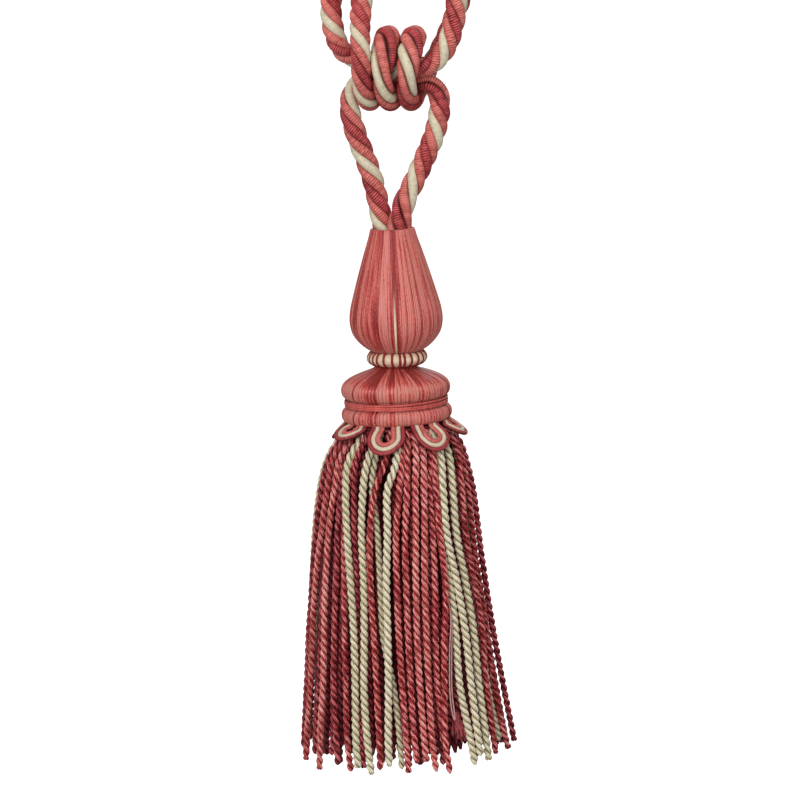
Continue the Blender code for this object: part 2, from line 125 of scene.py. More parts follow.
class Finish:
    """One material: its Principled shader, and the nodes that feed it."""

    def __init__(self, name, roughness, sheen=0.0, sheen_tint=(1.0, 1.0, 1.0, 1.0)):
        self.material = bpy.data.materials.new(name)
        self.material.use_nodes = True
        self.tree = self.material.node_tree
        self.shader = self.tree.nodes["Principled BSDF"]
        for socket, value in (("Roughness", roughness), ("Specular IOR Level", 0.35), ("Sheen Weight", sheen),
                              ("Sheen Roughness", 0.4), ("Sheen Tint", sheen_tint)):
            self.set(socket, value)

    def set(self, socket, value):
        """A constant or a link into one of the shader's own sockets."""
        self.feed(self.shader.inputs[socket], value)

    def feed(self, socket, value):
        if isinstance(value, Term):
            self.tree.links.new(value.socket, socket)
        else:
            socket.default_value = value

    def node(self, kind, settings, sockets=None, output=0):
        """Any node: its type, its settings, what goes into its sockets, and which output is meant."""
        node = self.tree.nodes.new(kind)
        for key, value in settings.items():
            if key == "stops":
                ramp = node.color_ramp
                while len(ramp.elements) < len(value):
                    ramp.elements.new(0.5)
                for stop, (place, colour) in zip(ramp.elements, value):
                    stop.position = place
                    stop.color = colour
            else:
                setattr(node, key, value)
        for key, value in (sockets or {}).items():
            self.feed(node.inputs[key], value)
        return Term(self, node.outputs[output])

    def uv(self):
        """The piece's own map: turns round the thread, and millimetres along it."""
        place = self.node("ShaderNodeUVMap", {"uv_map": "UVMap"})
        split = self.node("ShaderNodeSeparateXYZ", {}, {0: place}).socket.node
        return Term(self, split.outputs[0]), Term(self, split.outputs[1])

    def point(self, x, y=0.0, z=0.0):
        return self.node("ShaderNodeCombineXYZ", {}, {0: x, 1: y, 2: z})

    def fact(self, name):
        """A number that the mesh carries at each of its points."""
        return self.node("ShaderNodeAttribute", {"attribute_name": name}, output="Fac")

    def mix(self, share, first, second):
        """The first colour where share is 0, the second where it is 1."""
        return self.node("ShaderNodeMix", {"data_type": "RGBA", "clamp_factor": True},
                         {0: share, 6: first, 7: second}, 2)

    def ramp(self, value, stops):
        return self.node("ShaderNodeValToRGB", {"stops": stops}, {0: value})

    def noise(self, x, y, z=0.0, detail=2.0):
        return self.node("ShaderNodeTexNoise", {},
                         {"Vector": self.point(x, y, z), "Scale": 1.0, "Detail": detail})

    def chance(self, x, y=0.0):
        """A number from 0 to 1 that changes with every whole step of the place."""
        return self.node("ShaderNodeTexWhiteNoise", {"noise_dimensions": "3D"}, {"Vector": self.point(x, y)})

    def bump(self, height, strength, depth):
        """Fine relief of this depth in millimetres."""
        return self.node("ShaderNodeBump", {},
                         {"Height": height, "Strength": strength, "Distance": depth * MM})


def colour(red, green, blue):
    """A colour as it looks on a screen, from 0 to 255, turned into the light that it sends."""
    seen = np.array((red, green, blue)) / 255.0
    light = np.where(seen <= 0.04045, seen / 12.92, ((seen + 0.055) / 1.055) ** 2.4)
    return tuple(float(part) for part in light) + (1.0,)


def swing(middle, *parts):
    """A tone: the middle, moved by each term's distance from one half times its weight."""
    for term, weight in parts:
        middle = (term - 0.5) * weight + middle
    return middle


print("shader expressions are ready")

# %% [markdown]
# ## Tubes, the one shape that cords, threads and turned pieces share
# A cord is a ring of points carried along a line. A turned mould is the same thing with its line up
# the middle. So one helper takes a block of points, ordered as tube, ring, point round the ring,
# joins them with quads and closes both ends. It also writes the map that the finishes read.

# %% Meshes from blocks of points

def unit(vectors):
    return vectors / np.linalg.norm(vectors, axis=-1, keepdims=True)


def full_turn(count):
    """The angles of so many points spaced evenly round a circle."""
    return 2 * math.pi * np.arange(count) / count


def lengths_along(points):
    """The length from the first point to each one, along the line through them."""
    steps = np.linalg.norm(np.diff(points, axis=-2), axis=-1)
    return np.concatenate([np.zeros_like(steps[..., :1]), np.cumsum(steps, axis=-1)], axis=-1)


def sampled(at, stations, table):
    """Every column of a table, read off at other stations."""
    return np.stack([np.interp(at, stations, column) for column in table.T], axis=-1)


def tube_faces(tubes, rings, points, closed):
    """Corners of every quad: (ring, point), next point, next ring's next point, next ring's point."""
    start = np.arange(tubes)[:, None, None] * rings * points
    ring = np.arange(rings if closed else rings - 1)[None, :, None]
    row, below = ring * points, (ring + 1) % rings * points
    column = np.arange(points)[None, None, :]
    after = (column + 1) % points
    corners = [row + column, row + after, below + after, below + column]
    return np.stack([start + corner for corner in corners], axis=-1).reshape(-1, 4)


def end_faces(tubes, rings, points):
    """One many-sided face on the first and on the last ring of every tube, both facing outwards."""
    start = np.arange(tubes)[:, None] * rings * points
    first = start + np.arange(points)[::-1][None, :]
    last = start + (rings - 1) * points + np.arange(points)[None, :]
    return np.concatenate([first, last])


def tube_map(points, along):
    """For each quad's corners: share of a turn round the tube, and the length along it."""
    around = (np.arange(points)[:, None] + (0, 1, 1, 0)) / points
    length = np.stack([along[:, :-1], along[:, :-1], along[:, 1:], along[:, 1:]], axis=-1)
    return np.stack(np.broadcast_arrays(around, length[:, :, None]), axis=-1).reshape(-1, 2)


def piece(name, block, finish, along=None, facts=None, closed=False):
    """A mesh object from a block of points in millimetres: tubes, rings, points round a ring.

    `closed` joins the last ring to the first, as in a hoop.  `facts` are named numbers that broadcast
    to the block, one for each point."""
    tubes, rings, points = block.shape[:3]
    if along is None:
        along = lengths_along(block.mean(axis=2))
    faces = tube_faces(tubes, rings, points, closed)
    places, ends = [tube_map(points, along)], np.zeros((0, points), dtype=int)
    if not closed:
        ends = end_faces(tubes, rings, points)
        end_along = np.repeat(np.concatenate([along[:, 0], along[:, -1]]), points)
        places.append(np.stack([np.tile(np.arange(points) / points, 2 * tubes), end_along], axis=-1))
    mesh = bpy.data.meshes.new(name)
    mesh.from_pydata((block.reshape(-1, 3) * MM).tolist(), [], faces.tolist() + ends.tolist())
    layer = mesh.uv_layers.new(name="UVMap")
    layer.data.foreach_set("uv", np.concatenate(places).ravel().astype(np.float32))
    for key, values in (facts or {}).items():
        layer = mesh.attributes.new(key, "FLOAT", "POINT")
        values = np.broadcast_to(values, block.shape[:3]).astype(np.float32)
        layer.data.foreach_set("value", values.ravel())
    mesh.shade_smooth()
    mesh.materials.append(finish.material)
    made = bpy.data.objects.new(name, mesh)
    bpy.context.scene.collection.objects.link(made)
    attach(made, "root")
    triangles = 2 * len(faces) + len(ends) * (points - 2)
    print(f"{name}: {tubes} tubes, {triangles} triangles")
    return made


def cross_ways(path, toward):
    """Two directions across each path: `toward` less its part along the path, and one square to that."""
    tangent = unit(np.gradient(path, axis=1))
    first = unit(toward - tangent * np.sum(toward * tangent, axis=-1, keepdims=True))
    return first, np.cross(tangent, first)


def swept(path, toward, radii, angles, stretch=(1.0, 1.0)):
    """Rings carried along paths: path + radius (cos a first + sin a second).

    `path` is tubes x rings x 3.  `toward` points roughly where angle 0 of a ring looks."""
    first, second = cross_ways(path, toward)
    reach_first = (radii * np.cos(angles) * stretch[0])[..., None]
    reach_second = (radii * np.sin(angles) * stretch[1])[..., None]
    return path[:, :, None] + reach_first * first[:, :, None] + reach_second * second[:, :, None]


print("mesh helpers are ready")

# %% [markdown]
# ## The rope's route
# The route is the same list of points that the solid was made from: up one leg, through the knot,
# over the hook, round the core so that three wraps show, over the hook again and back through the
# knot to the other leg. A smooth curve goes through them. The rope is a little thinner in the knot
# and the neck.

# %% The rope's route
ROPE_RADIUS = 5.25
KNOT_X, KNOT_Z = -7.4, -58.0
KNOT_SQUEEZE, KNOT_REACH = 0.91, (22.0, 32.0)
NECK_SQUEEZE, NECK_REACH = 0.80, (0.0, 6.0)
WRAP_RADIUS, STEPS_PER_WRAP, WRAP_STEPS = 15.5, 12, 28
WRAP_COURSE = (
    # turns, x
    (0.0, -19.8), (0.1, -18.9), (0.2, -16.5), (0.3, -14.5), (0.5, -11.1), (0.75, -7.2), (1.0, -9.9),
    (1.1, -9.0), (1.2, -6.8), (1.3, -4.6), (1.5, 0.0), (1.75, 5.4), (2.0, 2.2), (2.1, 1.9),
    (2.2, 3.2), (2.3, 5.3), (2.4, 7.6),
)
LEFT_LEG = (
    (-9.1, 2.6, -139.9), (-9.2, 2.6, -135.4), (-10.3, 2.3, -130.6), (-11.05, 1.8, -126.0),
    (-12.1, 1.2, -120.8), (-14.3, 0.4, -111.4), (-17.6, 0.0, -101.6), (-21.3, 0.0, -92.0),
    (-24.2, 0.0, -83.0), (-25.4, 0.2, -75.0), (-24.1, 0.6, -69.0), (-21.0, 0.0, -65.2),
)
FRONT_CORE = (
    (-17.2, -0.7, -63.2), (-13.0, -2.9, -61.9), (-7.4, -4.6, -60.0), (-1.5, -5.1, -58.6),
    (3.5, -5.4, -57.7), (8.5, -6.1, -56.8), (12.6, -6.1, -55.8),
)
RIGHT_INNER_RUN = (
    (16.0, -5.9, -53.4), (18.9, -6.1, -49.8), (21.4, -6.3, -45.0), (23.3, -6.3, -39.0),
    (24.7, -6.3, -32.0), (25.4, -6.3, -24.5),
)
LEFT_INNER_RUN = (
    (-19.5, -8.3, -25.5), (-20.1, -11.2, -32.6), (-20.3, -13.7, -40.0), (-19.9, -15.2, -48.6),
)
RIGHT_OUTER_RUN = (
    (8.6, 12.9, -66.3), (12.2, 14.6, -59.6), (16.2, 13.6, -52.6), (20.0, 11.6, -45.4),
    (23.0, 9.6, -38.0), (25.6, 7.9, -30.4),
)
LEFT_OUTER_RUN = (
    (-34.1, 5.2, -32.8), (-33.2, 4.2, -39.0), (-31.3, 3.1, -45.2), (-28.2, 2.4, -50.2),
    (-24.2, 2.6, -52.8), (-19.2, 3.8, -54.1),
)
BACK_CORE = (
    (-13.4, 4.7, -54.9), (-7.4, 4.9, -55.9), (-2.0, 5.1, -57.5), (2.2, 4.9, -59.6),
    (5.6, 3.9, -61.6), (9.2, 1.7, -63.5),
)
RIGHT_LEG = (
    (13.2, -0.1, -65.4), (16.4, -0.5, -69.2), (17.6, -0.4, -74.8), (16.8, 0.0, -81.6),
    (14.9, 0.0, -89.4), (11.9, 0.0, -97.0), (8.6, 0.0, -104.6), (5.2, -0.4, -111.8),
    (1.9, -1.2, -119.0), (0.35, -1.8, -125.0), (-0.6, -2.4, -130.4), (-1.1, -2.6, -135.4),
    (-1.1, -2.6, -139.9),
)
ARCH_CROWN = ROPE_RADIUS + 0.05
INNER_ARCH = (3.0, 22.5, -6.3, 0.0)
OUTER_ARCH = (-2.8, 31.3, 6.3, 12.0)
ARCH_STEPS = 6
ROUTE_STEP = 0.25


def arch(row):
    """About half a circle over the hook, from its right foot to its left one."""
    middle, radius, depth, first = row
    turn = np.radians(np.linspace(first, 180.0, ARCH_STEPS + 1))
    height = ARCH_CROWN - radius + radius * np.sin(turn)
    return np.stack([middle + radius * np.cos(turn), np.full_like(turn, depth), height], axis=1)


def smooth_curve(points, per_span=16):
    """Cubic spans through all points, each with the slope that its neighbours give it."""
    chords = np.linalg.norm(np.diff(points, axis=0), axis=1)
    knots = np.concatenate([[0.0], np.cumsum(np.sqrt(chords))])
    slopes = np.gradient(points, knots, axis=0)
    share = np.linspace(0.0, 1.0, per_span, endpoint=False)[None, :, None]
    span = np.diff(knots)[:, None, None]
    stay = 2 * share ** 3 - 3 * share ** 2 + 1
    leave = share ** 3 - 2 * share ** 2 + share
    arrive = share ** 3 - share ** 2
    curve = (stay * points[:-1, None] + leave * span * slopes[:-1, None]
             + (1 - stay) * points[1:, None] + arrive * span * slopes[1:, None])
    return np.concatenate([curve.reshape(-1, points.shape[1]), points[-1:]])


def wraps():
    """Turns round the core: a circle seen from the side, which moves to the right as the course says."""
    course = smooth_curve(np.array(WRAP_COURSE))
    turns = np.arange(WRAP_STEPS + 1) / STEPS_PER_WRAP
    turn = 2 * math.pi * turns
    x = np.interp(turns, course[:, 0], course[:, 1])
    return np.stack([x, -WRAP_RADIUS * np.cos(turn), KNOT_Z - WRAP_RADIUS * np.sin(turn)], axis=1)


def even_steps(curve, step):
    """The same curve with its points a step apart, and the length up to each."""
    lengths = lengths_along(curve)
    stations = np.linspace(0.0, lengths[-1], int(round(lengths[-1] / step)) + 1)
    return sampled(stations, lengths, curve), stations


def carried(curve):
    """Two cross directions at each point, carried along the curve without turning about it."""
    tangents = unit(np.gradient(curve, axis=0))
    side = np.cross(tangents[0], (0.0, 1.0, 0.0))
    sides = []
    for tangent in tangents:
        side = side - tangent * np.dot(side, tangent)
        side = side / np.linalg.norm(side)
        sides.append(side)
    sides = np.array(sides)
    return sides, np.cross(tangents, sides)


route = np.concatenate([LEFT_LEG, FRONT_CORE, RIGHT_INNER_RUN, arch(INNER_ARCH), LEFT_INNER_RUN, wraps(),
                        RIGHT_OUTER_RUN, arch(OUTER_ARCH), LEFT_OUTER_RUN, BACK_CORE, RIGHT_LEG])
rope_line, rope_stations = even_steps(smooth_curve(route), ROUTE_STEP)
rope_sides, rope_ups = carried(rope_line)
out_of_knot = np.linalg.norm(rope_line - (KNOT_X, 0.0, KNOT_Z), axis=1)
rope_scale = np.interp(out_of_knot, KNOT_REACH, (KNOT_SQUEEZE, 1.0))
from_end = np.minimum(rope_stations, rope_stations[-1] - rope_stations)
rope_scale = np.minimum(rope_scale, np.interp(from_end, NECK_REACH, (NECK_SQUEEZE, 1.0)))
print("rope length in mm:", round(float(rope_stations[-1]), 1))

# %% [markdown]
# ## The rope's strands
# Each strand is a thick core wound with a fine covering thread, which trimming makers call gimp. The
# winding leaves a rib every millimetre on the pink and the red strands; the cream one is almost
# smooth. Every strand is a tube on a helix round the route, and its rib is a finer helix on the tube.
# `TWIST` says how many turns the strands have made at each length, because the twist opens in the
# arches and closes in the bends. Where the wraps are pulled over the core they flatten and spread.

# %% The rope's strands
STRAND_RADIUS, STRAND_CENTRE = 2.4, 2.85
RIB_PITCH, RIB_DEPTH = 1.0, 0.11
RIB_RINGS, STRAND_POINTS = 4, 12
CREAM_STEP = 1.0
TWIST = (
    # length along the rope, turns of the strands
    (0.0, 0.59), (37.0, 1.74), (70.5, 2.745), (124.7, 4.77), (139.7, 5.27), (229.0, 7.765), (244.0, 8.29),
    (256.0, 8.80), (268.2, 9.22), (286.5, 9.815), (348.5, 12.12), (364.0, 12.42), (379.0, 12.70),
    (394.0, 13.20), (466.2, 15.546), (479.5, 15.83), (487.7, 16.12), (665.5, 21.925), (722.0, 24.27),
    (734.5, 24.51), (746.5, 24.93), (775.5, 25.92), (804.0, 26.62),
)
WRAP_STATIONS, WRAP_SPREAD, WRAP_SWELL = (286.0, 300.0, 466.0, 480.0), 0.36, 0.144
# A wrap is pressed from this height over the core's middle, and in full once it has risen so far.
PRESS_START, PRESS_RISE = -3.0, 0.7 * WRAP_RADIUS
# In the neck the right leg leans on the left one, and flattens.
NECK_STATIONS, NECK_PULL, NECK_SPREAD = (778.0, 792.0), (-0.8, -0.9), 0.18

twist = smooth_curve(np.array(TWIST))
over_core = np.clip((rope_line[:, 2] - KNOT_Z - PRESS_START) / PRESS_RISE, 0.0, 1.0)
over_core *= np.interp(rope_stations, WRAP_STATIONS, (0.0, 1.0, 1.0, 0.0))
neck_lean = np.interp(rope_stations, NECK_STATIONS, (0.0, 1.0))
rope_facts = np.column_stack([rope_line, rope_sides, rope_ups, rope_scale, over_core, neck_lean])


def strand_path(quarter, stations):
    """Route + distance from the middle x (cos f side + sin f up), with f from the table of turns."""
    facts = sampled(stations, rope_stations, rope_facts)
    side, up = unit(facts[:, 3:6]), unit(facts[:, 6:9])
    scale, pressed, leaning = facts[:, 9:].T
    angle = 2 * math.pi * (quarter / 4 - np.interp(stations, twist[:, 0], twist[:, 1]))
    outward = np.cos(angle)[:, None] * side + np.sin(angle)[:, None] * up
    offset = (STRAND_CENTRE * scale)[:, None] * outward
    offset[:, 0] *= (1.0 + WRAP_SPREAD * pressed) * (1.0 + NECK_SPREAD * leaning)
    offset[:, :2] += leaning[:, None] * NECK_PULL
    return facts[:, :3] + offset, outward, scale * (1.0 + WRAP_SWELL * pressed)


def strand_block(quarter, step, ribbed):
    """Rings on the strand's helix, whose radius rises and falls once for each turn of the winding."""
    lengths = lengths_along(strand_path(quarter, rope_stations)[0])
    along = np.linspace(0.0, lengths[-1], int(lengths[-1] / step))
    path, outward, scale = strand_path(quarter, np.interp(along, lengths, rope_stations))
    angles = full_turn(STRAND_POINTS)
    rib = np.cos(2 * math.pi * along[:, None] / RIB_PITCH - angles)
    radii = STRAND_RADIUS * scale[:, None] + (RIB_DEPTH * rib if ribbed else 0.0)
    return swept(path[None], outward[None], radii[None], angles), along[None]


def furrow_shade_share(around, first, last):
    """Where painted shade goes: 0 on a strand's back and 1 down in the furrow; the turn from the back runs
    from first to last.
    """
    from_back = 0.5 - (around - 0.5).size()
    return ((from_back - first) / (last - first)).held()


def gimp_finish(name, colours, contrast, furrow=(0.16, 0.25)):
    """Covering thread: painted shade between ribs and painted highlight on their crests, a rib's own chance
    tone, fibres along the rib, and painted shade down in the furrow.
    """
    deep, body, light = [colour(*seen) for seen in colours]
    finish = Finish(name, roughness=0.55, sheen=0.25, sheen_tint=light)
    around, along = finish.uv()
    wound = along / RIB_PITCH - around
    ridge = (wound * (2 * math.pi)).sine()
    fibres = finish.noise(around * 40.0, wound * 3.0)
    drift = finish.noise(around * 3.0, along * 0.08)
    tone = swing(0.5, (finish.chance(wound.floor()), 0.35), (fibres, 0.5), (drift, 0.3))
    # The ridge in the tone paints each rib: painted highlight on its crest, painted shade between ribs.
    rib_colour = finish.ramp(tone + ridge * (0.28 * contrast), [(0.0, deep), (0.5, body), (1.0, light)])
    # dark: the painted shade colour down in the furrow between strands
    dark = tuple(0.3 * part for part in deep[:3]) + (1.0,)
    finish.set("Base Color", finish.mix(furrow_shade_share(around, *furrow) * 0.9, rib_colour, dark))
    finish.set("Normal", finish.bump(ridge * 0.5 + fibres * 0.6, 0.5, 0.12))
    return finish


def cream_finish(name, colours, furrow=(0.18, 0.27)):
    """Smooth floss: fine fibres along the cord, faint flecks, and painted shade, a brown line, down in the
    furrow.
    """
    deep, body, light = [colour(*seen) for seen in colours]
    finish = Finish(name, roughness=0.5, sheen=0.2, sheen_tint=light)
    around, along = finish.uv()
    fibres = finish.noise(around * 14.0, along * 0.5)
    tone = swing(0.5, (fibres, 0.6), (finish.noise(around * 5.0, along * 1.2, detail=4.0), 0.5))
    floss_colour = finish.ramp(tone, [(0.15, deep), (0.5, body), (0.85, light)])
    # dark: a brown painted shade colour for the furrow
    dark = finish.mix(0.5, deep, colour(90, 40, 30))
    finish.set("Base Color", finish.mix(furrow_shade_share(around, *furrow) * 0.85, floss_colour, dark))
    finish.set("Normal", finish.bump(fibres, 0.35, 0.15))
    return finish


PINK = gimp_finish("pink_gimp", ((132, 46, 44), (204, 102, 94), (236, 144, 132)), 0.8)
RED = gimp_finish("red_gimp", ((88, 12, 18), (166, 50, 54), (212, 98, 98)), 1.3)
CREAM = cream_finish("cream_floss", ((160, 146, 118), (214, 202, 174), (238, 230, 208)))

STRANDS = (
    # name, finish, ribbed; each lies a quarter of a turn on from the one before
    ("rope_cream_strand", CREAM, False), ("rope_pink_strand", PINK, True),
    ("rope_red_strand", RED, True), ("rope_rose_strand", PINK, True),
)
for quarter, (name, finish, ribbed) in enumerate(STRANDS):
    block, along = strand_block(quarter, RIB_PITCH / RIB_RINGS if ribbed else CREAM_STEP, ribbed)
    piece(name, block, finish, along=along)

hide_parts("rope")
coarse = slice(None, None, 8)

# %% [markdown]
# ## The tassel's own frame
# The tassel hangs a little out of plumb, with its foot swung to the right. Its pieces are worked out
# upright, as depth below the neck, and are then leaned. `SEATS` says how far a mould sits off the
# tassel's axis, since none of them hangs quite true. The thread that covers a mould is laid
# lengthways, strand by strand, so a mould's surface is a turned profile with one ridge per thread.

# %% Turned moulds covered with thread
NECK_X, NECK_Z, LEAN = -5.26, -134.8, 1.8
SEATS = {
    # piece: (depth it leans about, sway to +X, further lean in degrees)
    "pear": (0.0, 0.2, 0.5), "bead": (0.0, -0.05, 0.5), "cap": (79.0, -0.65, 0.9),
}
CROWN = (0.0, 0.72, 1.0, 0.72)
LARGEST_BUNDLE, TONE_SPREAD = 3, 0.1
CURVE_STEPS = 8


def leaned(x, z, degrees):
    """The same points swung about the origin, so that what hangs below it goes to +X."""
    turn = math.radians(-degrees)
    return x * math.cos(turn) + z * math.sin(turn), z * math.cos(turn) - x * math.sin(turn)


def hung(block, seat=""):
    """From the upright tassel, z = -depth below the neck, to its leaning place in the part."""
    x, y, z = np.moveaxis(block, -1, 0)
    depth, sway, more = SEATS.get(seat, (0.0, 0.0, 0.0))
    x, z = leaned(x, z + depth, more)
    x, z = leaned(x + sway, z - depth, LEAN)
    return np.stack([NECK_X + x, y, NECK_Z + z], axis=-1)


def profile_rows(rows, step):
    """Depths and radii a step apart on a smooth line through the rows."""
    return even_steps(smooth_curve(np.array(rows), CURVE_STEPS), step)[0].T


def turned(depths, radii, angles):
    """x = radius sin a, y = -radius cos a, z = -depth, for rows of depths and columns of angles."""
    depths = np.broadcast_to(depths, np.broadcast(depths, radii, angles).shape)
    return np.stack([radii * np.sin(angles), -radii * np.cos(angles), -depths], axis=-1)


def threaded(rows, step, threads, ridge, uneven, creases, crease_depth):
    """Depths and radii of a mould, the crown of its columns, and their reach at each depth.

    Each thread has a round back and a chance lift, and some gaps by chance are deeper creases, whose lowered
    crown gives them darker painted shade."""
    depths, radii = profile_rows(rows, step)
    lift = np.repeat(chances.uniform(-uneven, uneven, threads), len(CROWN))
    crease = np.zeros(threads * len(CROWN))
    crease[chances.choice(threads, creases, replace=False) * len(CROWN)] = 1.0
    crown = np.tile(CROWN, threads) - crease
    relief = ridge * (crown - 1.0) + lift - crease_depth * crease
    return depths, radii, crown, radii[:, None] + (radii / radii.max())[:, None] * relief


def thread_tones(threads, spread, bands=()):
    """Each thread's tone and place: chance bundles of one to three, drawn to the tones of the bands."""
    tones = np.empty(threads)
    k = 0
    while k < threads:
        count = chances.integers(1, LARGEST_BUNDLE + 1)
        tones[k:k + count] = chances.choice(spread)
        k += count
    tones += chances.normal(0.0, TONE_SPREAD, threads)
    degrees = -(np.arange(threads) + 0.5) * 360.0 / threads
    degrees = (degrees + 180.0) % 360.0 - 180.0
    for first, last, tone, pull in bands:
        chosen = (degrees >= first) & (degrees < last)
        tones[chosen] += pull * (tone - tones[chosen])
    return np.clip(tones, 0.0, 1.0), degrees


def thread_finish(name, colours):
    """Laid thread: each thread's own tone, streaks along it, painted shade in the grooves between threads,
    and cream where the mesh says so.
    """
    finish = Finish(name, roughness=0.46, sheen=0.25, sheen_tint=colour(255, 195, 185))
    around, along = finish.uv()
    streaks = finish.noise(around * 300.0, along * 0.8, detail=3.0)
    patches = finish.noise(around * 150.0, along * 0.05, detail=1.0)
    broad = finish.noise(around * 40.0, along * 0.04, detail=1.0)
    tone = swing(finish.fact("tone"), (streaks, 1.2), (patches, 1.6), (broad, 0.6))
    stops = [(k / (len(colours) - 1), colour(*seen)) for k, seen in enumerate(colours)]
    # Painted shade in the grooves between threads, where the crown is low, darkest in the creases.
    groove = ((1.0 - finish.fact("crown")) * 0.45).held()
    body = finish.mix(groove, finish.ramp(tone, stops), colour(110, 36, 32))
    finish.set("Base Color", finish.mix(finish.fact("cream"), body, colour(240, 218, 186)))
    finish.set("Normal", finish.bump(streaks, 0.4, 0.1))
    return finish


THREAD = thread_finish("laid_thread", ((140, 34, 32), (190, 66, 60), (210, 94, 88), (230, 134, 124),
                                       (212, 134, 120)))
chances = np.random.default_rng(11)
print("thread finish is ready")

# %% [markdown]
# ## The pear
# The pear is a wooden mould, narrow at the neck and round below. A hundred and forty-four threads run
# down it. They are fine where the neck is narrow and open out over the belly. Their colours go in
# bundles, from a dusty pink to a deep red, and one cream thread shows near the front of the belly.

# %% The pear
PEAR = (
    # depth, radius
    (5.6, 9.1), (2.0, 9.5), (-0.7, 9.75), (-1.1, 9.9), (-1.2, 10.1), (-0.95, 10.4), (-0.3, 10.7),
    (3.2, 11.6), (10.4, 13.95), (20.5, 17.05), (32.0, 20.35), (38.0, 21.85), (43.0, 22.35), (46.5, 22.0),
    (49.5, 21.1), (52.4, 19.3), (55.3, 16.6), (57.3, 13.9), (58.2, 12.2),
)
PEAR_STEP, PEAR_THREADS, PEAR_RIDGE = 1.6, 144, 0.17
PEAR_UNEVEN, PEAR_CREASES, PEAR_CREASE_DEPTH = 0.07, 34, 0.22
PEAR_SPREAD = (0.1, 0.25, 0.4, 0.5, 0.55, 0.6, 0.7, 0.8, 0.95)
PEAR_BANDS = (
    # from, to, in degrees from the front, tone, and how strongly the threads keep to it
    (-66, -58, 0.3, 0.4), (-58, -50, 0.7, 0.4), (-50, -46, 0.2, 0.7), (-46, -36, 0.6, 0.5),
    (-36, -22, 0.2, 0.65), (-22, -8, 0.8, 0.8), (-8, -2, 0.3, 0.7), (1, 6, 0.15, 0.7), (6, 12, 0.6, 0.5),
    (12, 15, 0.1, 0.7), (15, 22, 0.75, 0.5), (22, 24, 0.2, 0.6), (24, 32, 0.9, 0.5), (32, 34, 0.1, 0.7),
    (34, 44, 0.85, 0.5), (44, 47, 0.2, 0.6), (47, 60, 0.6, 0.3),
)
CREAM_THREAD = (-1.6, 1.0)
CREAM_START, CREAM_FULL = 27.0, 44.0

depths, radii, crown, reach = threaded(PEAR, PEAR_STEP, PEAR_THREADS, PEAR_RIDGE,
                                       PEAR_UNEVEN, PEAR_CREASES, PEAR_CREASE_DEPTH)
tones, degrees = thread_tones(PEAR_THREADS, PEAR_SPREAD, PEAR_BANDS)
cream_thread = np.repeat((degrees > CREAM_THREAD[0]) & (degrees < CREAM_THREAD[1]), len(CROWN))
cream = cream_thread * np.clip((depths - CREAM_START) / (CREAM_FULL - CREAM_START), 0.0, 1.0)[:, None]
block = hung(turned(depths[:, None], reach, -full_turn(len(crown))), "pear")[None]
pear = piece("pear_threads", block, THREAD,
             facts={"tone": np.repeat(tones, len(CROWN)), "crown": crown, "cream": cream})
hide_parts("pear")

# %% [markdown]
# ## The bead
# Between the pear and the cap sits a small bead. Cream floss swells between twenty-four thin dark
# cords that run down the bead and pull it in. The spacing was done by hand and is not even.

# %% The bead
BEAD = (
    # depth, radius
    (58.5, 11.7), (59.1, 13.1), (60.4, 14.1), (61.8, 14.4), (63.1, 13.85), (64.3, 12.3), (65.2, 9.8),
)
BEAD_CORDS = 24
BEAD_FRONT = (-69.0, -55.4, -43.4, -27.2, -9.6, 6.1, 15.5, 30.2, 46.6, 62.5, 78.5)
BEAD_COLUMNS, BEAD_STEP, BEAD_FADE = 288, 0.5, 1.5
FLOSS_SWELL, FLOSS_FURROW, FURROW_DEGREES = 0.25, 0.95, 7.0
DIVIDER_RADIUS, DIVIDER_SINK, DIVIDER_STEP, DIVIDER_POINTS = 0.78, 0.55, 0.45, 8


def bead_profile(step):
    """Depths, radii, and a share that fades to 0 where the bead is narrowest."""
    depths, radii = profile_rows(BEAD, step)
    return depths, radii, np.clip((radii - radii.min()) / BEAD_FADE, 0.0, 1.0)


at_back = np.linspace(BEAD_FRONT[-1], 360 + BEAD_FRONT[0], BEAD_CORDS - len(BEAD_FRONT) + 2)[1:-1]
bead_angles = np.concatenate([BEAD_FRONT, at_back])[:, None]
depths, radii, fade = bead_profile(BEAD_STEP)
column = -360.0 * np.arange(BEAD_COLUMNS) / BEAD_COLUMNS
gap = np.abs((column - bead_angles + 180.0) % 360.0 - 180.0).min(axis=0)
swell = np.sqrt(np.clip(gap / FURROW_DEGREES, 0.0, 1.0))
reach = radii[:, None] + fade[:, None] * (FLOSS_SWELL - FLOSS_FURROW * (1.0 - swell))
FLOSS = cream_finish("bead_floss", ((196, 136, 112), (228, 203, 174), (246, 234, 210)), (0.6, 0.7))
block = hung(turned(depths[:, None], reach, np.radians(column)), "bead")[None]
floss = piece("bead_floss", block, FLOSS)
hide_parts("bead")

depths, radii, fade = bead_profile(DIVIDER_STEP)
paths = turned(depths, radii - DIVIDER_SINK * fade, np.radians(bead_angles))
outward = turned(0.0, 1.0, np.radians(bead_angles))
block = hung(swept(paths, outward, DIVIDER_RADIUS, full_turn(DIVIDER_POINTS)), "bead")
DIVIDER = gimp_finish("divider_cord", ((70, 10, 12), (142, 42, 42), (186, 84, 78)), 0.6, (0.12, 0.3))
piece("bead_dividers", block, DIVIDER)
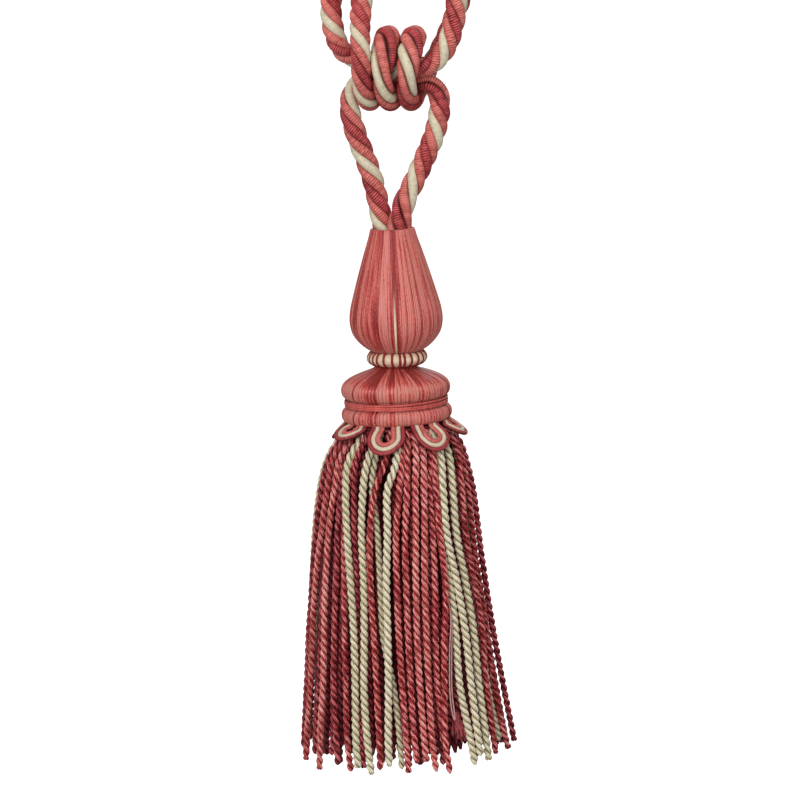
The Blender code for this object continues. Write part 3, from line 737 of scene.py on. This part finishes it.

# %% [markdown]
# ## The cap
# The cap is one turned mould: a low dome, a rim, a groove and a second rim. Its threads run out from
# the waist, over both rims and under the foot. Over the rims they lie in bundles, and each bundle
# has a painted highlight on its middle and painted shade at its sides. Near the waist they crowd
# together and are darkened with painted shade. A painted highlight runs round the shoulder where the
# dome meets the rim, and the widest part of the cap is painted lighter.

# %% The cap
CAP = (
    # depth, radius
    (65.6, 9.0), (66.9, 11.5), (68.4, 15.8), (69.9, 19.75), (71.4, 22.75), (73.0, 24.85), (74.8, 26.0),
    (76.6, 26.3), (78.6, 25.9), (79.9, 25.0), (80.5, 23.7), (81.4, 23.5), (84.0, 23.5), (84.8, 23.8),
    (85.3, 25.2), (86.4, 26.2), (88.0, 26.6), (89.8, 26.4), (91.1, 25.6), (91.7, 24.4),
)
CAP_STEP, CAP_THREADS, CAP_RIDGE = 0.9, 176, 0.16
CAP_UNEVEN, CAP_CREASES, CAP_CREASE_DEPTH = 0.06, 40, 0.2
CAP_SPREAD = (0.1, 0.25, 0.4, 0.5, 0.6, 0.7, 0.8, 0.9, 1.0)
BUNDLE_THREADS, BUNDLE_DEPTH = 2, 0.1
# The widest part of the cap is painted lighter, and each bundle there gets a painted highlight on its middle.
RIM_RADIUS, RIM_FADE, RIM_PAINTED_LIGHT, BUNDLE_PAINTED_HIGHLIGHT = 23.0, 2.5, 0.1, 0.16
# Painted shade near the waist: above this depth the threads are darker and their tones spread further apart.
WAIST_DEPTH, WAIST_FADE, WAIST_CONTRAST, WAIST_PAINTED_SHADE = 73.6, 5.5, 0.35, 0.74
# A painted highlight round the shoulder where the dome meets the rim.
EDGE_DEPTH, EDGE_FADE, EDGE_PAINTED_HIGHLIGHT = 74.3, 0.9, 0.3

depths, radii, crown, reach = threaded(CAP, CAP_STEP, CAP_THREADS, CAP_RIDGE,
                                       CAP_UNEVEN, CAP_CREASES, CAP_CREASE_DEPTH)
tones = thread_tones(CAP_THREADS, CAP_SPREAD)[0]
bundle = np.cos(2 * math.pi * np.arange(len(crown)) / (BUNDLE_THREADS * len(CROWN)))
rim = np.clip((radii - RIM_RADIUS) / RIM_FADE, 0.0, 1.0)[:, None]
waist = np.clip((WAIST_DEPTH - depths) / WAIST_FADE, 0.0, 1.0)[:, None]
shoulder_highlight = np.exp(-((depths - EDGE_DEPTH) / EDGE_FADE) ** 2)[:, None]
reach += BUNDLE_DEPTH * rim * (bundle - 1.0)
# The cap's tone carries painted light: painted shade near the waist, a painted highlight round the shoulder,
# and a lighter rim with a painted highlight on each bundle.
tone = np.repeat(tones, len(CROWN)) * (1.0 + WAIST_CONTRAST * waist) - WAIST_PAINTED_SHADE * waist
tone += EDGE_PAINTED_HIGHLIGHT * shoulder_highlight + rim * (RIM_PAINTED_LIGHT + BUNDLE_PAINTED_HIGHLIGHT * bundle)
block = hung(turned(depths[:, None], reach, -full_turn(len(crown))), "cap")[None]
# A bundle's sides get a low crown, and so painted shade between bundles.
cap = piece("cap_threads", block, THREAD,
            facts={"tone": tone, "crown": 0.5 * crown + 0.25 * (bundle + 1.0), "cream": 0.0})
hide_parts("cap")

# %% [markdown]
# ## The groove's winding
# Three thick threads are wound round the groove, and they do not lie quite level. Each is a hoop: a
# ring of points carried round a circle whose height wanders a little.

# %% The groove's winding
HOOPS = (
    # depth, radius of the circle, thread radius, wander, where the wander begins in degrees
    (81.5, 24.35, 0.62, 0.18, 20.0), (82.7, 24.45, 0.64, 0.22, 140.0), (83.85, 24.35, 0.6, 0.16, 260.0),
)
HOOP_STEPS, HOOP_POINTS, HOOP_LENGTH, RIPPLE = 180, 10, 2 * math.pi * 24.4, 0.08

depth, circle, thread, sway, start = np.array(HOOPS).T[..., None]
turn = full_turn(HOOP_STEPS)
depth = depth + sway * np.sin(turn + np.radians(start)) + RIPPLE * np.sin(3 * turn + start)
paths = turned(depth, circle, -turn)
wrapped = np.concatenate([paths[:, -1:], paths, paths[:, :1]], axis=1)
block = swept(wrapped, wrapped * (1.0, 1.0, 0.0), thread[..., None], full_turn(HOOP_POINTS))[:, 1:-1]
along = np.tile(np.linspace(0.0, HOOP_LENGTH, HOOP_STEPS + 1), (len(HOOPS), 1))
WINDING = gimp_finish("groove_thread", ((124, 32, 30), (208, 88, 82), (236, 134, 124)), 0.5, (0.12, 0.24))
winding = piece("groove_threads", hung(block, "cap"), WINDING, along=along, closed=True)
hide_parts("groove_winding")

# %% [markdown]
# ## The petals
# Eight loops of gimp lie round the cap's foot like the petals of a daisy. Each is a band of three
# cords sewn side by side: red outside, cream in the middle and pink inside. The band is laid out
# flat, as across and along, and is then wrapped on the slope between the cap and the skirt. Each
# petal has its own slope, because some lie down on the cords and others stand out.

# %% The petals
PETALS = (
    # angle, leg, slope at the root, slope at the tip
    (-56.3, 0.8, 68.0, 54.0), (-11.3, 5.1, 64.0, 25.0), (33.0, 4.7, 64.0, 26.0), (78.4, 0.2, 60.0, 44.0),
    (123.7, 3.6, 62.0, 32.0), (168.7, 4.8, 64.0, 28.0), (213.7, 4.2, 62.0, 30.0), (258.7, 0.4, 50.0, 12.0),
)
GIMP_CORD, PETAL_POINTS, PETAL_CURVE_STEPS = 2.4, 10, 5
PETAL_ROOT_RADIUS, PETAL_ROOT_DEPTH, PETAL_LENGTH = 26.0, 93.5, 15.0
BEND_RADIUS, BEND_STEPS = 6.1, 12
PETAL_TUCK, TUCK_SLOPE, ROOT_HALF_WIDTH, SLOPE_STEPS = 2.8, 15.0, 5.0, 72
OUTER_CORDS = (
    # depth, radius, sway
    (93.0, 22.8, 0.0), (97.6, 25.6, 0.0), (104.0, 29.8, -0.9), (112.0, 33.0, -1.8), (126.0, 36.3, -2.2),
    (160.0, 40.2, -2.8), (205.0, 45.0, -1.8), (256.0, 51.2, 0.2), (262.0, 52.0, 0.4),
)
run = np.linspace(-PETAL_TUCK, PETAL_LENGTH, SLOPE_STEPS)
outer_table = np.array(OUTER_CORDS)


def on_slope(across, along, height, petal):
    """Across and along the slope become an angle round the tassel, a radius and a depth."""
    angle, _, *slopes = petal
    slope = np.radians(np.interp(run, (-PETAL_TUCK, 0.0, PETAL_LENGTH), (TUCK_SLOPE, *slopes)))
    out, down = [np.interp(along, run, way) - np.interp(0.0, run, way) for way in
                 np.cumsum([np.sin(slope), np.cos(slope)], axis=1) * (run[1] - run[0])]
    lean = np.interp(along, run, slope)
    reach = PETAL_ROOT_RADIUS + out + height * np.cos(lean)
    drop = PETAL_ROOT_DEPTH + down - height * np.sin(lean)
    place = turned(drop, reach, math.radians(angle) + across / reach)
    place[..., 0] += np.interp(drop, outer_table[:, 0], outer_table[:, 2])
    return place


def petal_line(leg):
    """Half a circle between two legs that draw together at the root, as across and along."""
    bend = math.pi * np.arange(BEND_STEPS + 1) / BEND_STEPS
    loop = np.stack([-BEND_RADIUS * np.cos(bend), leg + BEND_RADIUS * np.sin(bend)], axis=1)
    ends = np.array([(-ROOT_HALF_WIDTH, -PETAL_TUCK), (-ROOT_HALF_WIDTH, -0.5 * PETAL_TUCK)])
    return smooth_curve(np.concatenate([ends, loop, ends[::-1] * (-1.0, 1.0)]), PETAL_CURVE_STEPS)


PETAL_CORDS = (
    # piece, place across the band, thickness across, height, finish
    ("petals_outer_cord", 0.9, 1.02, 0.95,
     gimp_finish("petal_red", ((96, 16, 22), (158, 48, 54), (198, 92, 92)), 0.5, (0.14, 0.25))),
    ("petals_middle_cord", 0.0, 1.14, 1.1,
     cream_finish("petal_cream", ((160, 142, 116), (210, 194, 168), (232, 222, 200)), (0.16, 0.25))),
    ("petals_inner_cord", -0.97, 1.22, 1.0,
     gimp_finish("petal_pink", ((132, 50, 48), (198, 98, 92), (224, 134, 124)), 0.5, (0.14, 0.25))),
)
petal_nodes = [f"petal_{k + 1}" for k in range(len(PETALS))]
for name, place, thick, high, finish in PETAL_CORDS:
    paths = []
    for petal in PETALS:
        line = petal_line(petal[1])
        heading = unit(np.gradient(line, axis=0))
        across, down = (line + heading[:, ::-1] * (-place * GIMP_CORD, place * GIMP_CORD)).T
        paths.append([on_slope(across, down, height, petal) for height in (0.0, 1.0)])
    paths, above = np.array(paths).swapaxes(0, 1)
    block = hung(swept(paths, above - paths, 1.0, full_turn(PETAL_POINTS), (high, thick)))
    cords = piece(name, block, finish)
    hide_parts(*petal_nodes)

# %% [markdown]
# ## The skirt's cords
# The skirt is bullion: cords of two plies, laid up left-handed, that hang from a heading under the
# cap. The cords of the front are set one by one, since the order of their colours and the places
# where they cross are what one sees first. The rest of the outer row and the middle row have chance
# colours. The middle row is maroon and dark red, and the inner row is plain cords that close the view
# through; their dark colours are partly painted shade of the skirt's deep inside. Each ply is a tube
# on a helix round its cord's line, and at the foot both plies close into one rounded end. The inner
# cords have no plies of their own: painted shade draws them.

# %% The skirt's cords
SKIRT_TOP, SKIRT_FOOT = 94.3, 254.0
PLY_RADIUS, PLY_CENTRE, CORD_LAY, LAY_SPREAD = 1.06, 0.94, 7.3, (0.94, 1.06)
CORD_SIZES = {"C": 1.0, "G": 0.88, "R": 0.88, "P": 0.9, "D": 0.88, "M": 0.95}
CORD_TOUCH = 3.35
LEVELS = (94.0, 108.0, 120.0, 140.0, 165.0, 190.0, 215.0, 240.0, 256.0)
FRONT_CORDS = (
    # colour, proud, foot, degrees from the front at the levels from the second on
    ("G", 0.7, 247.4, (-93.0, -93.0, -95.0, -100.0, -105.0, -108.0, -110.0, -110.0)),
    ("D", 0.3, 250.4, (-82.0, -81.0, -81.0, -82.0, -83.0, -84.0, -85.0, -85.0)),
    ("P", 0.6, 254.8, (-68.7, -64.9, -65.5, -70.3, -71.8, -71.8, -74.5, -74.5)),
    ("D", -2.4, 251.0, (-66.0, -62.0, -62.5, -65.0, -66.5, -67.0, -69.0, -69.0)),
    ("P", 0.3, 256.3, (-57.6, -54.4, -56.1, -56.3, -56.0, -55.6, -57.1, -56.7)),
    ("D", -1.0, 252.3, (-55.1, -49.3, -48.0, -47.1, -47.5, -47.1, -44.4, -42.3)),
    ("R", -1.0, 254.4, (-42.1, -42.8, -41.4, -38.9, -38.1, -37.1, -36.0, -33.3)),
    ("C", 1.2, 251.9, (-43.9, -40.8, -36.3, -31.7, -29.2, -28.7, -28.7, -27.3)),
    ("D", -2.2, 252.6, (-39.4, -36.5, -33.4, -29.4, -29.1, -28.5, -27.0, -25.9)),
    ("C", 0.6, 254.6, (-25.5, -25.6, -24.8, -22.4, -22.6, -23.4, -22.0, -19.9)),
    ("G", -3.0, 252.6, (-21.0, -20.0, -14.5, -12.1, -11.2, -5.7, -4.0, -3.9)),
    ("R", 0.8, 252.2, (-9.7, -15.8, -18.2, -17.6, -16.0, -15.4, -15.1, -15.3)),
    ("C", 1.4, 250.4, (-0.5, -6.1, -5.8, -6.9, -7.3, -8.4, -10.0, -9.9)),
    ("R", 0.4, 253.8, (4.7, 2.9, 0.2, -0.1, -0.5, -0.4, -0.3, -0.1)),
    ("R", 0.0, 249.5, (10.1, 8.8, 6.6, 6.1, 5.3, 4.7, 4.4, 5.0)),
    ("P", 0.6, 248.9, (17.0, 15.2, 14.2, 12.5, 10.8, 10.0, 9.7, 10.2)),
    ("P", 0.4, 253.8, (24.2, 22.3, 20.7, 18.6, 16.9, 15.3, 14.1, 14.9)),
    ("R", -1.4, 242.5, (33.0, 29.2, 28.9, 27.2, 23.8, 21.8, 22.0, 22.7)),
    ("R", 0.6, 255.4, (34.4, 33.2, 32.7, 33.9, 29.1, 24.7, 21.8, 22.1)),
    ("C", -0.8, 253.8, (39.9, 38.0, 35.4, 39.7, 38.7, 36.5, 38.5, 40.0)),
    ("C", 1.2, 249.4, (41.0, 38.2, 37.4, 42.3, 44.5, 43.2, 42.4, 42.1)),
    ("C", 0.8, 252.7, (51.6, 48.9, 46.9, 51.0, 52.7, 50.2, 48.9, 47.8)),
    ("R", 0.2, 251.1, (69.0, 62.2, 59.0, 62.5, 64.4, 58.5, 56.4, 55.5)),
    ("G", -2.4, 247.2, (80.0, 80.0, 77.6, 79.6, 75.5, 69.4, 69.5, 70.9)),
    ("R", -0.6, 252.3, (82.0, 78.0, 74.9, 74.6, 72.8, 71.3, 71.6, 75.5)),
    ("D", -1.7, 249.2, (86.0, 85.5, 85.5, 85.0, 82.5, 78.5, 76.0, 77.0)),
    ("D", 0.9, 251.2, (87.4, 87.4, 87.4, 87.4, 86.4, 87.4, 87.4, 87.4)),
)
MIDDLE_CORDS = (
    # depth, radius, sway
    (93.0, 19.2, 0.0), (104.0, 24.0, -0.7), (126.0, 30.8, -2.2), (180.0, 36.8, -2.4), (262.0, 45.0, 0.3),
)
INNER_CORDS = (
    # depth, radius, sway
    (93.0, 15.0, 0.0), (112.0, 21.0, -1.2), (180.0, 29.6, -2.4), (262.0, 37.6, 0.3),
)
BACK_CORDS, MIDDLE_COUNT, INNER_COUNT = 27, 46, 66
OUTER_RINGS, MIDDLE_RINGS, INNER_RINGS = 198, 134, 34
OUTER_POINTS, MIDDLE_POINTS, INNER_POINTS = 6, 5, 6
BACK_FROM, BACK_TO, BACK_PROUD, BACK_FOOT = 96.0, 263.0, (-1.0, 1.2), (-4.5, 2.0)
OUTER_CHANCES, MIDDLE_CHANCES = "RRRPPDDC", "MMMDD"
HIDDEN_CORDS, HIDDEN_PROUD = 3, -3.2     # behind the outermost cord on the right, which stands clear
SHORT_BY, SHORT_FROM, SHORT_TO = 8.0, 22.0, 42.0     # middle cords cut short above the frayed end
SINK_START, SINK_SLOPE, SINK_MOST, SETTLING_ROUNDS = 1.5, 0.08, 4.5, 40
GATHERED = 12.0     # below the heading, the length over which the cords take their places in and out
TIP, INNER_TIP, TIP_RADIUS, CORE_RADIUS = 1.3, 5.0, 0.35, 1.95


def wander(count, reach):
    """A slow sideways wander at each level: chance steps that add up, less their own mean."""
    steps = np.cumsum(chances.normal(0.0, reach, (count, len(LEVELS) - 1)), axis=1)
    return steps - steps.mean(axis=1, keepdims=True)


def row_shape(table, depths):
    """Radius and sway of a row of cords, read at these depths."""
    shape = smooth_curve(np.array(table), CURVE_STEPS)
    return [np.interp(depths, shape[:, 0], column) for column in shape.T[1:]]


def by_row(table, depth, proud, degrees):
    """A point beside a row of cords: x = sway + (radius + proud) sin a, and so on."""
    radius, sway = row_shape(table, depth)
    line = turned(depth, radius + proud, np.radians(degrees))
    line[..., 0] += sway
    return line


def settled(table, proud, degrees):
    """How far each cord stands out at each level: of two that would share a place, one moves in."""
    levels = np.array(LEVELS[1:])
    radius = row_shape(table, levels)[0]
    turn = np.radians(degrees)
    order = np.argsort(np.argsort(proud))
    behind = (order[:, None] < order)[..., None]
    stand = np.repeat(proud[:, None], len(levels), axis=1)
    deepest = -np.minimum(SINK_START + SINK_SLOPE * (levels - levels[0]), SINK_MOST)
    for _ in range(SETTLING_ROUNDS):
        x, y = (radius + stand) * np.sin(turn), (radius + stand) * np.cos(turn)
        apart = np.hypot(x[:, None] - x, y[:, None] - y)
        push = (np.clip(CORD_TOUCH - apart, 0.0, None) * behind).max(axis=1)
        stand = np.maximum(stand - 0.5 * push, np.minimum(deepest, proud[:, None]))
    return stand


def cord_lines(table, stand, foot, degrees, rings):
    """The cords' lines at depths spread evenly from the heading to the foot, and which way is out."""
    depth = SKIRT_TOP + (foot[:, None] - SKIRT_TOP) * np.linspace(0.0, 1.0, rings)
    courses = np.concatenate([degrees, stand]).T
    courses = np.concatenate([courses[:1], courses])
    curve = smooth_curve(np.column_stack([LEVELS, courses]), CURVE_STEPS).T
    read = [np.interp(row, curve[0], course) for row, course in zip(np.tile(depth, (2, 1)), curve[1:])]
    angle, proud = np.array(read).reshape(2, *depth.shape)
    proud *= np.clip((depth - SKIRT_TOP) / GATHERED, 0.0, 1.0)
    return by_row(table, depth, proud, angle), turned(0.0, 1.0, np.radians(angle)), depth


def rounded(depth, tip):
    """1 along a cord, and a quarter of a circle down to 0 over the tip."""
    near = np.clip((depth[:, -1:] - depth) / tip, 0.0, 1.0)
    return np.sqrt(1.0 - (1.0 - near) ** 2)


def plies(line, outward, depth, sizes, points):
    """Two tubes for each cord: line + distance (cos f first + sin f second), f turning once a lay."""
    cords, rings = depth.shape
    first, second = cross_ways(line, outward)
    lay = CORD_LAY * chances.uniform(*LAY_SPREAD, cords)[:, None, None]
    start = chances.uniform(0.0, 1.0, cords)[:, None, None]
    ply = np.array([0.0, 0.5])[:, None]
    turn = 2 * math.pi * (start + ply - (depth - SKIRT_TOP)[:, None] / lay)[..., None]
    toward = np.cos(turn) * first[:, None] + np.sin(turn) * second[:, None]
    close, sizes = rounded(depth, TIP)[..., None], sizes[:, None, None]
    apart = PLY_CENTRE * sizes * (0.5 + 0.5 * close)
    radii = PLY_RADIUS * sizes * (TIP_RADIUS + (1.0 - TIP_RADIUS) * close)
    path = (line[:, None] + apart[:, None] * toward).reshape(2 * cords, rings, 3)
    toward = toward.reshape(2 * cords, rings, 3)
    return hung(swept(path, toward, np.repeat(radii, 2, axis=0), full_turn(points)))


def cord_finish(name, colours, mixed):
    """Twisted yarn: five yarns wound round a ply against its lay, a painted highlight on each yarn's crest,
    and painted shade between yarns and down in the furrow.
    """
    deep, body, light, dark = [colour(*seen) for seen in colours]
    finish = Finish(name, roughness=0.5, sheen=0.3, sheen_tint=light)
    around, along = finish.uv()
    yarns = (around - along * YARN_LEAN) * YARNS_ROUND
    back = (yarns.fraction() * math.pi).sine()
    cord = finish.fact("cord")
    shade = finish.chance(yarns.floor(), cord * 91.0)
    fibres = finish.noise(around * 8.0, along * 2.2, cord * 17.0, detail=3.0)
    drift = finish.noise(around * 1.5, along * 0.35, cord * 43.0)
    tone = swing(0.56, (shade, mixed), (fibres, 1.1), (drift, mixed), (cord, 0.2))
    # back lightens the middle of each yarn as painted highlight; the furrow term darkens towards the furrow
    # between plies as painted shade.
    tone = tone + (back - 0.64) * 0.5 - furrow_shade_share(around, 0.1, 0.3) * 0.25
    yarn_colour = finish.ramp(tone, [(0.1, deep), (0.5, body), (0.95, light)])
    # dark: the painted shade colour down in the furrow between plies
    finish.set("Base Color", finish.mix(furrow_shade_share(around, 0.19, 0.3) * 0.75, yarn_colour, dark))
    finish.set("Normal", finish.bump(back + fibres * 0.8, 0.6, 0.18))
    return finish


def core_finish(name, deep, body):
    """Inner cords, whose plies are not modelled: painted shade between plies and lighter backs, back = sine
    of the turn past the plies' lay.
    """
    finish = Finish(name, roughness=0.8)
    around, along = finish.uv()
    back = ((around * 2.0 + along / CORD_LAY).fraction() * math.pi).sine()
    finish.set("Base Color", finish.mix(back, deep, body))
    finish.set("Normal", finish.bump(back, 0.8, 0.6))
    return finish


YARNS_ROUND, YARN_LEAN = 5.0, 0.107
YARNS = (
    # letter, word, deep, body and light colour, painted shade colour down in the furrow, how much the yarns
    # differ
    ("C", "cream", (172, 158, 118), (220, 210, 178), (246, 236, 214), (136, 124, 86), 0.3),
    ("R", "red", (112, 12, 20), (182, 48, 52), (240, 150, 144), (88, 10, 14), 0.9),
    ("P", "pink", (140, 36, 40), (212, 94, 90), (244, 172, 164), (104, 18, 20), 0.7),
    ("D", "dark_red", (84, 8, 18), (158, 34, 46), (214, 112, 114), (66, 6, 12), 0.9),
    # maroon is dark partly as painted shade of the skirt's inside, where the middle row hangs
    ("M", "maroon", (54, 8, 12), (116, 26, 36), (160, 62, 66), (40, 6, 8), 0.6),
)
CORD_FINISHES = {letter: cord_finish(f"{word}_cord", seen, mixed) for letter, word, *seen, mixed in YARNS}
CORD_NAMES = {letter: word for letter, word, *_ in YARNS}
skirt_pieces = []


def even_row(count, reach, foot, proud):
    """Degrees, feet and stand of cords spaced evenly round: each wanders, and ends, by chance."""
    degrees = (np.arange(count) * 360.0 / count)[:, None] + wander(count, reach)
    foot = SKIRT_FOOT + chances.uniform(*foot, count)
    return degrees, foot, np.repeat(chances.uniform(*proud, count)[:, None], len(LEVELS) - 1, axis=1)


def cord_pieces(row, kinds, letters, block):
    """One piece for each kind of cord in a row, and a chance number for each cord."""
    cord_number = np.repeat(chances.uniform(0.0, 1.0, len(letters)), 2)[:, None, None]
    for kind in kinds:
        chosen = np.repeat(np.array(letters) == kind, 2)
        skirt_pieces.append(piece(f"{row}_{CORD_NAMES[kind]}_cords", block[chosen], CORD_FINISHES[kind],
                                  facts={"cord": cord_number[chosen]}))


chances = np.random.default_rng(23)
letters, proud, foot, degrees = [list(column) for column in zip(*FRONT_CORDS)]
back_degrees = np.linspace(BACK_FROM, BACK_TO, BACK_CORDS)[:, None] + wander(BACK_CORDS, reach=0.9)
letters += list(chances.choice(list(OUTER_CHANCES), BACK_CORDS))
proud = np.concatenate([proud, chances.uniform(*BACK_PROUD, BACK_CORDS)])
proud[len(FRONT_CORDS):len(FRONT_CORDS) + HIDDEN_CORDS] = HIDDEN_PROUD
foot = np.concatenate([foot, SKIRT_FOOT + chances.uniform(*BACK_FOOT, BACK_CORDS)])
degrees = np.concatenate([degrees, back_degrees])
sizes = np.array([CORD_SIZES[letter] for letter in letters])
stand = settled(OUTER_CORDS, proud, degrees)
block = plies(*cord_lines(OUTER_CORDS, stand, foot, degrees, OUTER_RINGS), sizes, OUTER_POINTS)
cord_pieces("skirt", "CRPD", ["C" if letter == "G" else letter for letter in letters], block)

degrees, foot, stand = even_row(MIDDLE_COUNT, reach=1.0, foot=(-7.0, 0.5), proud=(-1.0, 0.6))
foot -= SHORT_BY * ((degrees[:, -1] > SHORT_FROM) & (degrees[:, -1] < SHORT_TO))
sizes = np.full(MIDDLE_COUNT, CORD_SIZES["M"])
block = plies(*cord_lines(MIDDLE_CORDS, stand, foot, degrees, MIDDLE_RINGS), sizes, MIDDLE_POINTS)
cord_pieces("skirt_middle", "MD", chances.choice(list(MIDDLE_CHANCES), MIDDLE_COUNT), block)

# The inner cords' dark colours are partly painted shade of the skirt's deep inside.
CORE = core_finish("core_cord", colour(58, 9, 14), colour(112, 24, 34))
degrees, foot, stand = even_row(INNER_COUNT, reach=0.3, foot=(-9.0, -2.0), proud=(-0.5, 0.5))
line, outward, depth = cord_lines(INNER_CORDS, stand, foot, degrees, INNER_RINGS)
radii = CORE_RADIUS * (TIP_RADIUS + (1.0 - TIP_RADIUS) * rounded(depth, INNER_TIP))[..., None]
block = hung(swept(line, outward, radii, full_turn(INNER_POINTS)))
skirt_pieces.append(piece("skirt_inner_cords", block, CORE))

# %% [markdown]
# ## A stray loop and a frayed end
# The skirt was trimmed by hand. Near the front on the right one thin thread was caught as a loop, and
# below it the cut end of an inner cord has come undone into short threads.

# %% Stray loop and frayed end
LOOP = (
    # depth, how far it lies inside the outer cords, degrees from the front
    (168.0, 5.0, 37.5), (174.0, 1.0, 36.0), (183.0, -0.8, 34.6), (198.0, -1.0, 30.9), (217.0, -1.0, 27.8),
    (226.0, -1.0, 27.5), (229.8, -0.9, 28.2), (230.6, -0.8, 28.8), (229.0, -0.6, 29.2), (217.0, -0.4, 29.5),
    (198.0, -0.2, 33.0), (183.0, 0.8, 37.0), (176.0, 3.0, 38.3), (170.0, 5.0, 38.5),
)
LOOP_RADIUS, LOOP_POINTS, LOOP_CURVE_STEPS = 0.35, 6, 6
FRAY_THREADS, FRAY_RADIUS, FRAY_POINTS, FRAY_RINGS = 26, 0.26, 5, 7
FRAY_TOP, FRAY_FOOT, FRAY_UNEVEN, FRAY_BEND = 228.0, 243.0, 6.0, 2.0
FRAY_DEGREES, FRAY_HALF_WIDTH, FRAY_SPREAD = 33.0, 1.8, 3.2
FRAY_INSIDE, FRAY_RISE = 4.0, 1.5


def thin_thread(line, radius, points):
    """A tube along each line, with angle 0 of its rings looking away from the tassel's axis."""
    return hung(swept(line, line * (1.0, 1.0, 0.0), radius, full_turn(points)))


depth, inside, degrees = smooth_curve(np.array(LOOP), LOOP_CURVE_STEPS).T
line = by_row(OUTER_CORDS, depth, -inside, degrees)[None]
LOOP_FINISH = gimp_finish("loop_thread", ((140, 84, 80), (196, 150, 142), (222, 186, 178)), 0.3, (0.3, 0.5))
loose = [piece("skirt_stray_loop", thin_thread(line, LOOP_RADIUS, LOOP_POINTS), LOOP_FINISH)]

share = np.linspace(0.0, 1.0, FRAY_RINGS)
side = chances.uniform(-1.0, 1.0, FRAY_THREADS)[:, None]
foot = chances.uniform(FRAY_FOOT - FRAY_UNEVEN, FRAY_FOOT, FRAY_THREADS)[:, None]
bend = chances.uniform(-FRAY_BEND, FRAY_BEND, FRAY_THREADS)[:, None]
depth = FRAY_TOP + (foot - FRAY_TOP) * share
degrees = FRAY_DEGREES + side * (FRAY_HALF_WIDTH + FRAY_SPREAD * share) + bend * share ** 2
line = by_row(OUTER_CORDS, depth, FRAY_RISE * share - FRAY_INSIDE, degrees)
loose.append(piece("skirt_frayed_end", thin_thread(line, FRAY_RADIUS, FRAY_POINTS), CORD_FINISHES["D"],
                   facts={"cord": chances.uniform(0.0, 1.0, FRAY_THREADS)[:, None, None]}))

# %% [markdown]
# ## The skirt's heading
# The cords hang from a sewn heading, a thick disc of red tape under the cap. It shows only from
# below and between the petals.

# %% The skirt's heading
HEADING = (
    # depth, radius
    (92.45, 6.0), (92.45, 23.0), (92.7, 24.2), (93.3, 24.6), (94.3, 24.5), (94.9, 23.6), (95.0, 6.0),
)
HEADING_COLUMNS = 96

heading = np.array(HEADING)
block = hung(turned(heading[:, :1], heading[:, 1:], -full_turn(HEADING_COLUMNS)))[None]
heading_piece = piece("skirt_heading", block, CORD_FINISHES["M"], facts={"cord": 0.0})
for made in [heading_piece] + skirt_pieces + loose:
    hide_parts("skirt")

# %% [markdown]
# ## Floor and light
# A wide floor that shines a little by itself gives the white ground of a catalogue picture. It sends
# no light back up to the tassel, so the lower sides of the cords stay dark. A weak sky fills the
# shadows. Two large soft lights stand in front, one on each side, with weaker ones above and behind.

# %% Floor and light
FLOOR_Z, FLOOR_SIZE = -0.62, 40.0
SKY_STRENGTH, FLOOR_GLOW = 0.32, 0.9
LAMPS_AIM = (0.0, 0.0, -0.2)
LAMPS = (
    # name, place in metres, size in metres, watts
    ("left_softbox", (-0.9, -2.2, 0.7), 1.6, 38.0),
    ("right_softbox", (1.3, -2.0, 0.1), 1.6, 11.5),
    ("top_softbox", (0.1, -0.6, 1.6), 1.0, 8.0), ("back_softbox", (0.4, 2.2, 0.6), 1.6, 9.0),
)

half = FLOOR_SIZE / 2
corners = [(-half, -half, FLOOR_Z), (half, -half, FLOOR_Z), (half, half, FLOOR_Z), (-half, half, FLOOR_Z)]
floor_mesh = bpy.data.meshes.new("floor")
floor_mesh.from_pydata(corners, [], [(0, 1, 2, 3)])
floor_finish = Finish("pale_floor", roughness=0.9)
floor_finish.set("Base Color", (0.9, 0.9, 0.9, 1.0))
floor_finish.set("Emission Color", (1.0, 1.0, 1.0, 1.0))
floor_finish.set("Emission Strength", FLOOR_GLOW)
floor_mesh.materials.append(floor_finish.material)
floor = bpy.data.objects.new("floor", floor_mesh)
bpy.context.scene.collection.objects.link(floor)
floor.visible_diffuse = False
floor.visible_glossy = False

sky = bpy.data.worlds.new("bright_sky")
sky.use_nodes = True
sky.node_tree.nodes["Background"].inputs["Color"].default_value = (1.0, 1.0, 1.0, 1.0)
sky.node_tree.nodes["Background"].inputs["Strength"].default_value = SKY_STRENGTH
bpy.context.scene.world = sky
bpy.context.scene.view_settings.view_transform = "Standard"

for name, place, size, watts in LAMPS:
    lamp = bpy.data.lights.new(name, "AREA")
    lamp.shape = "SQUARE"
    lamp.size = size
    lamp.energy = watts
    holder = bpy.data.objects.new(name, lamp)
    holder.location = place
    x, y, z = np.subtract(place, LAMPS_AIM)
    holder.rotation_euler = (math.atan2(math.hypot(x, y), z), 0.0, math.atan2(x, -y))
    bpy.context.scene.collection.objects.link(holder)
print("lamps:", [row[0] for row in LAMPS])
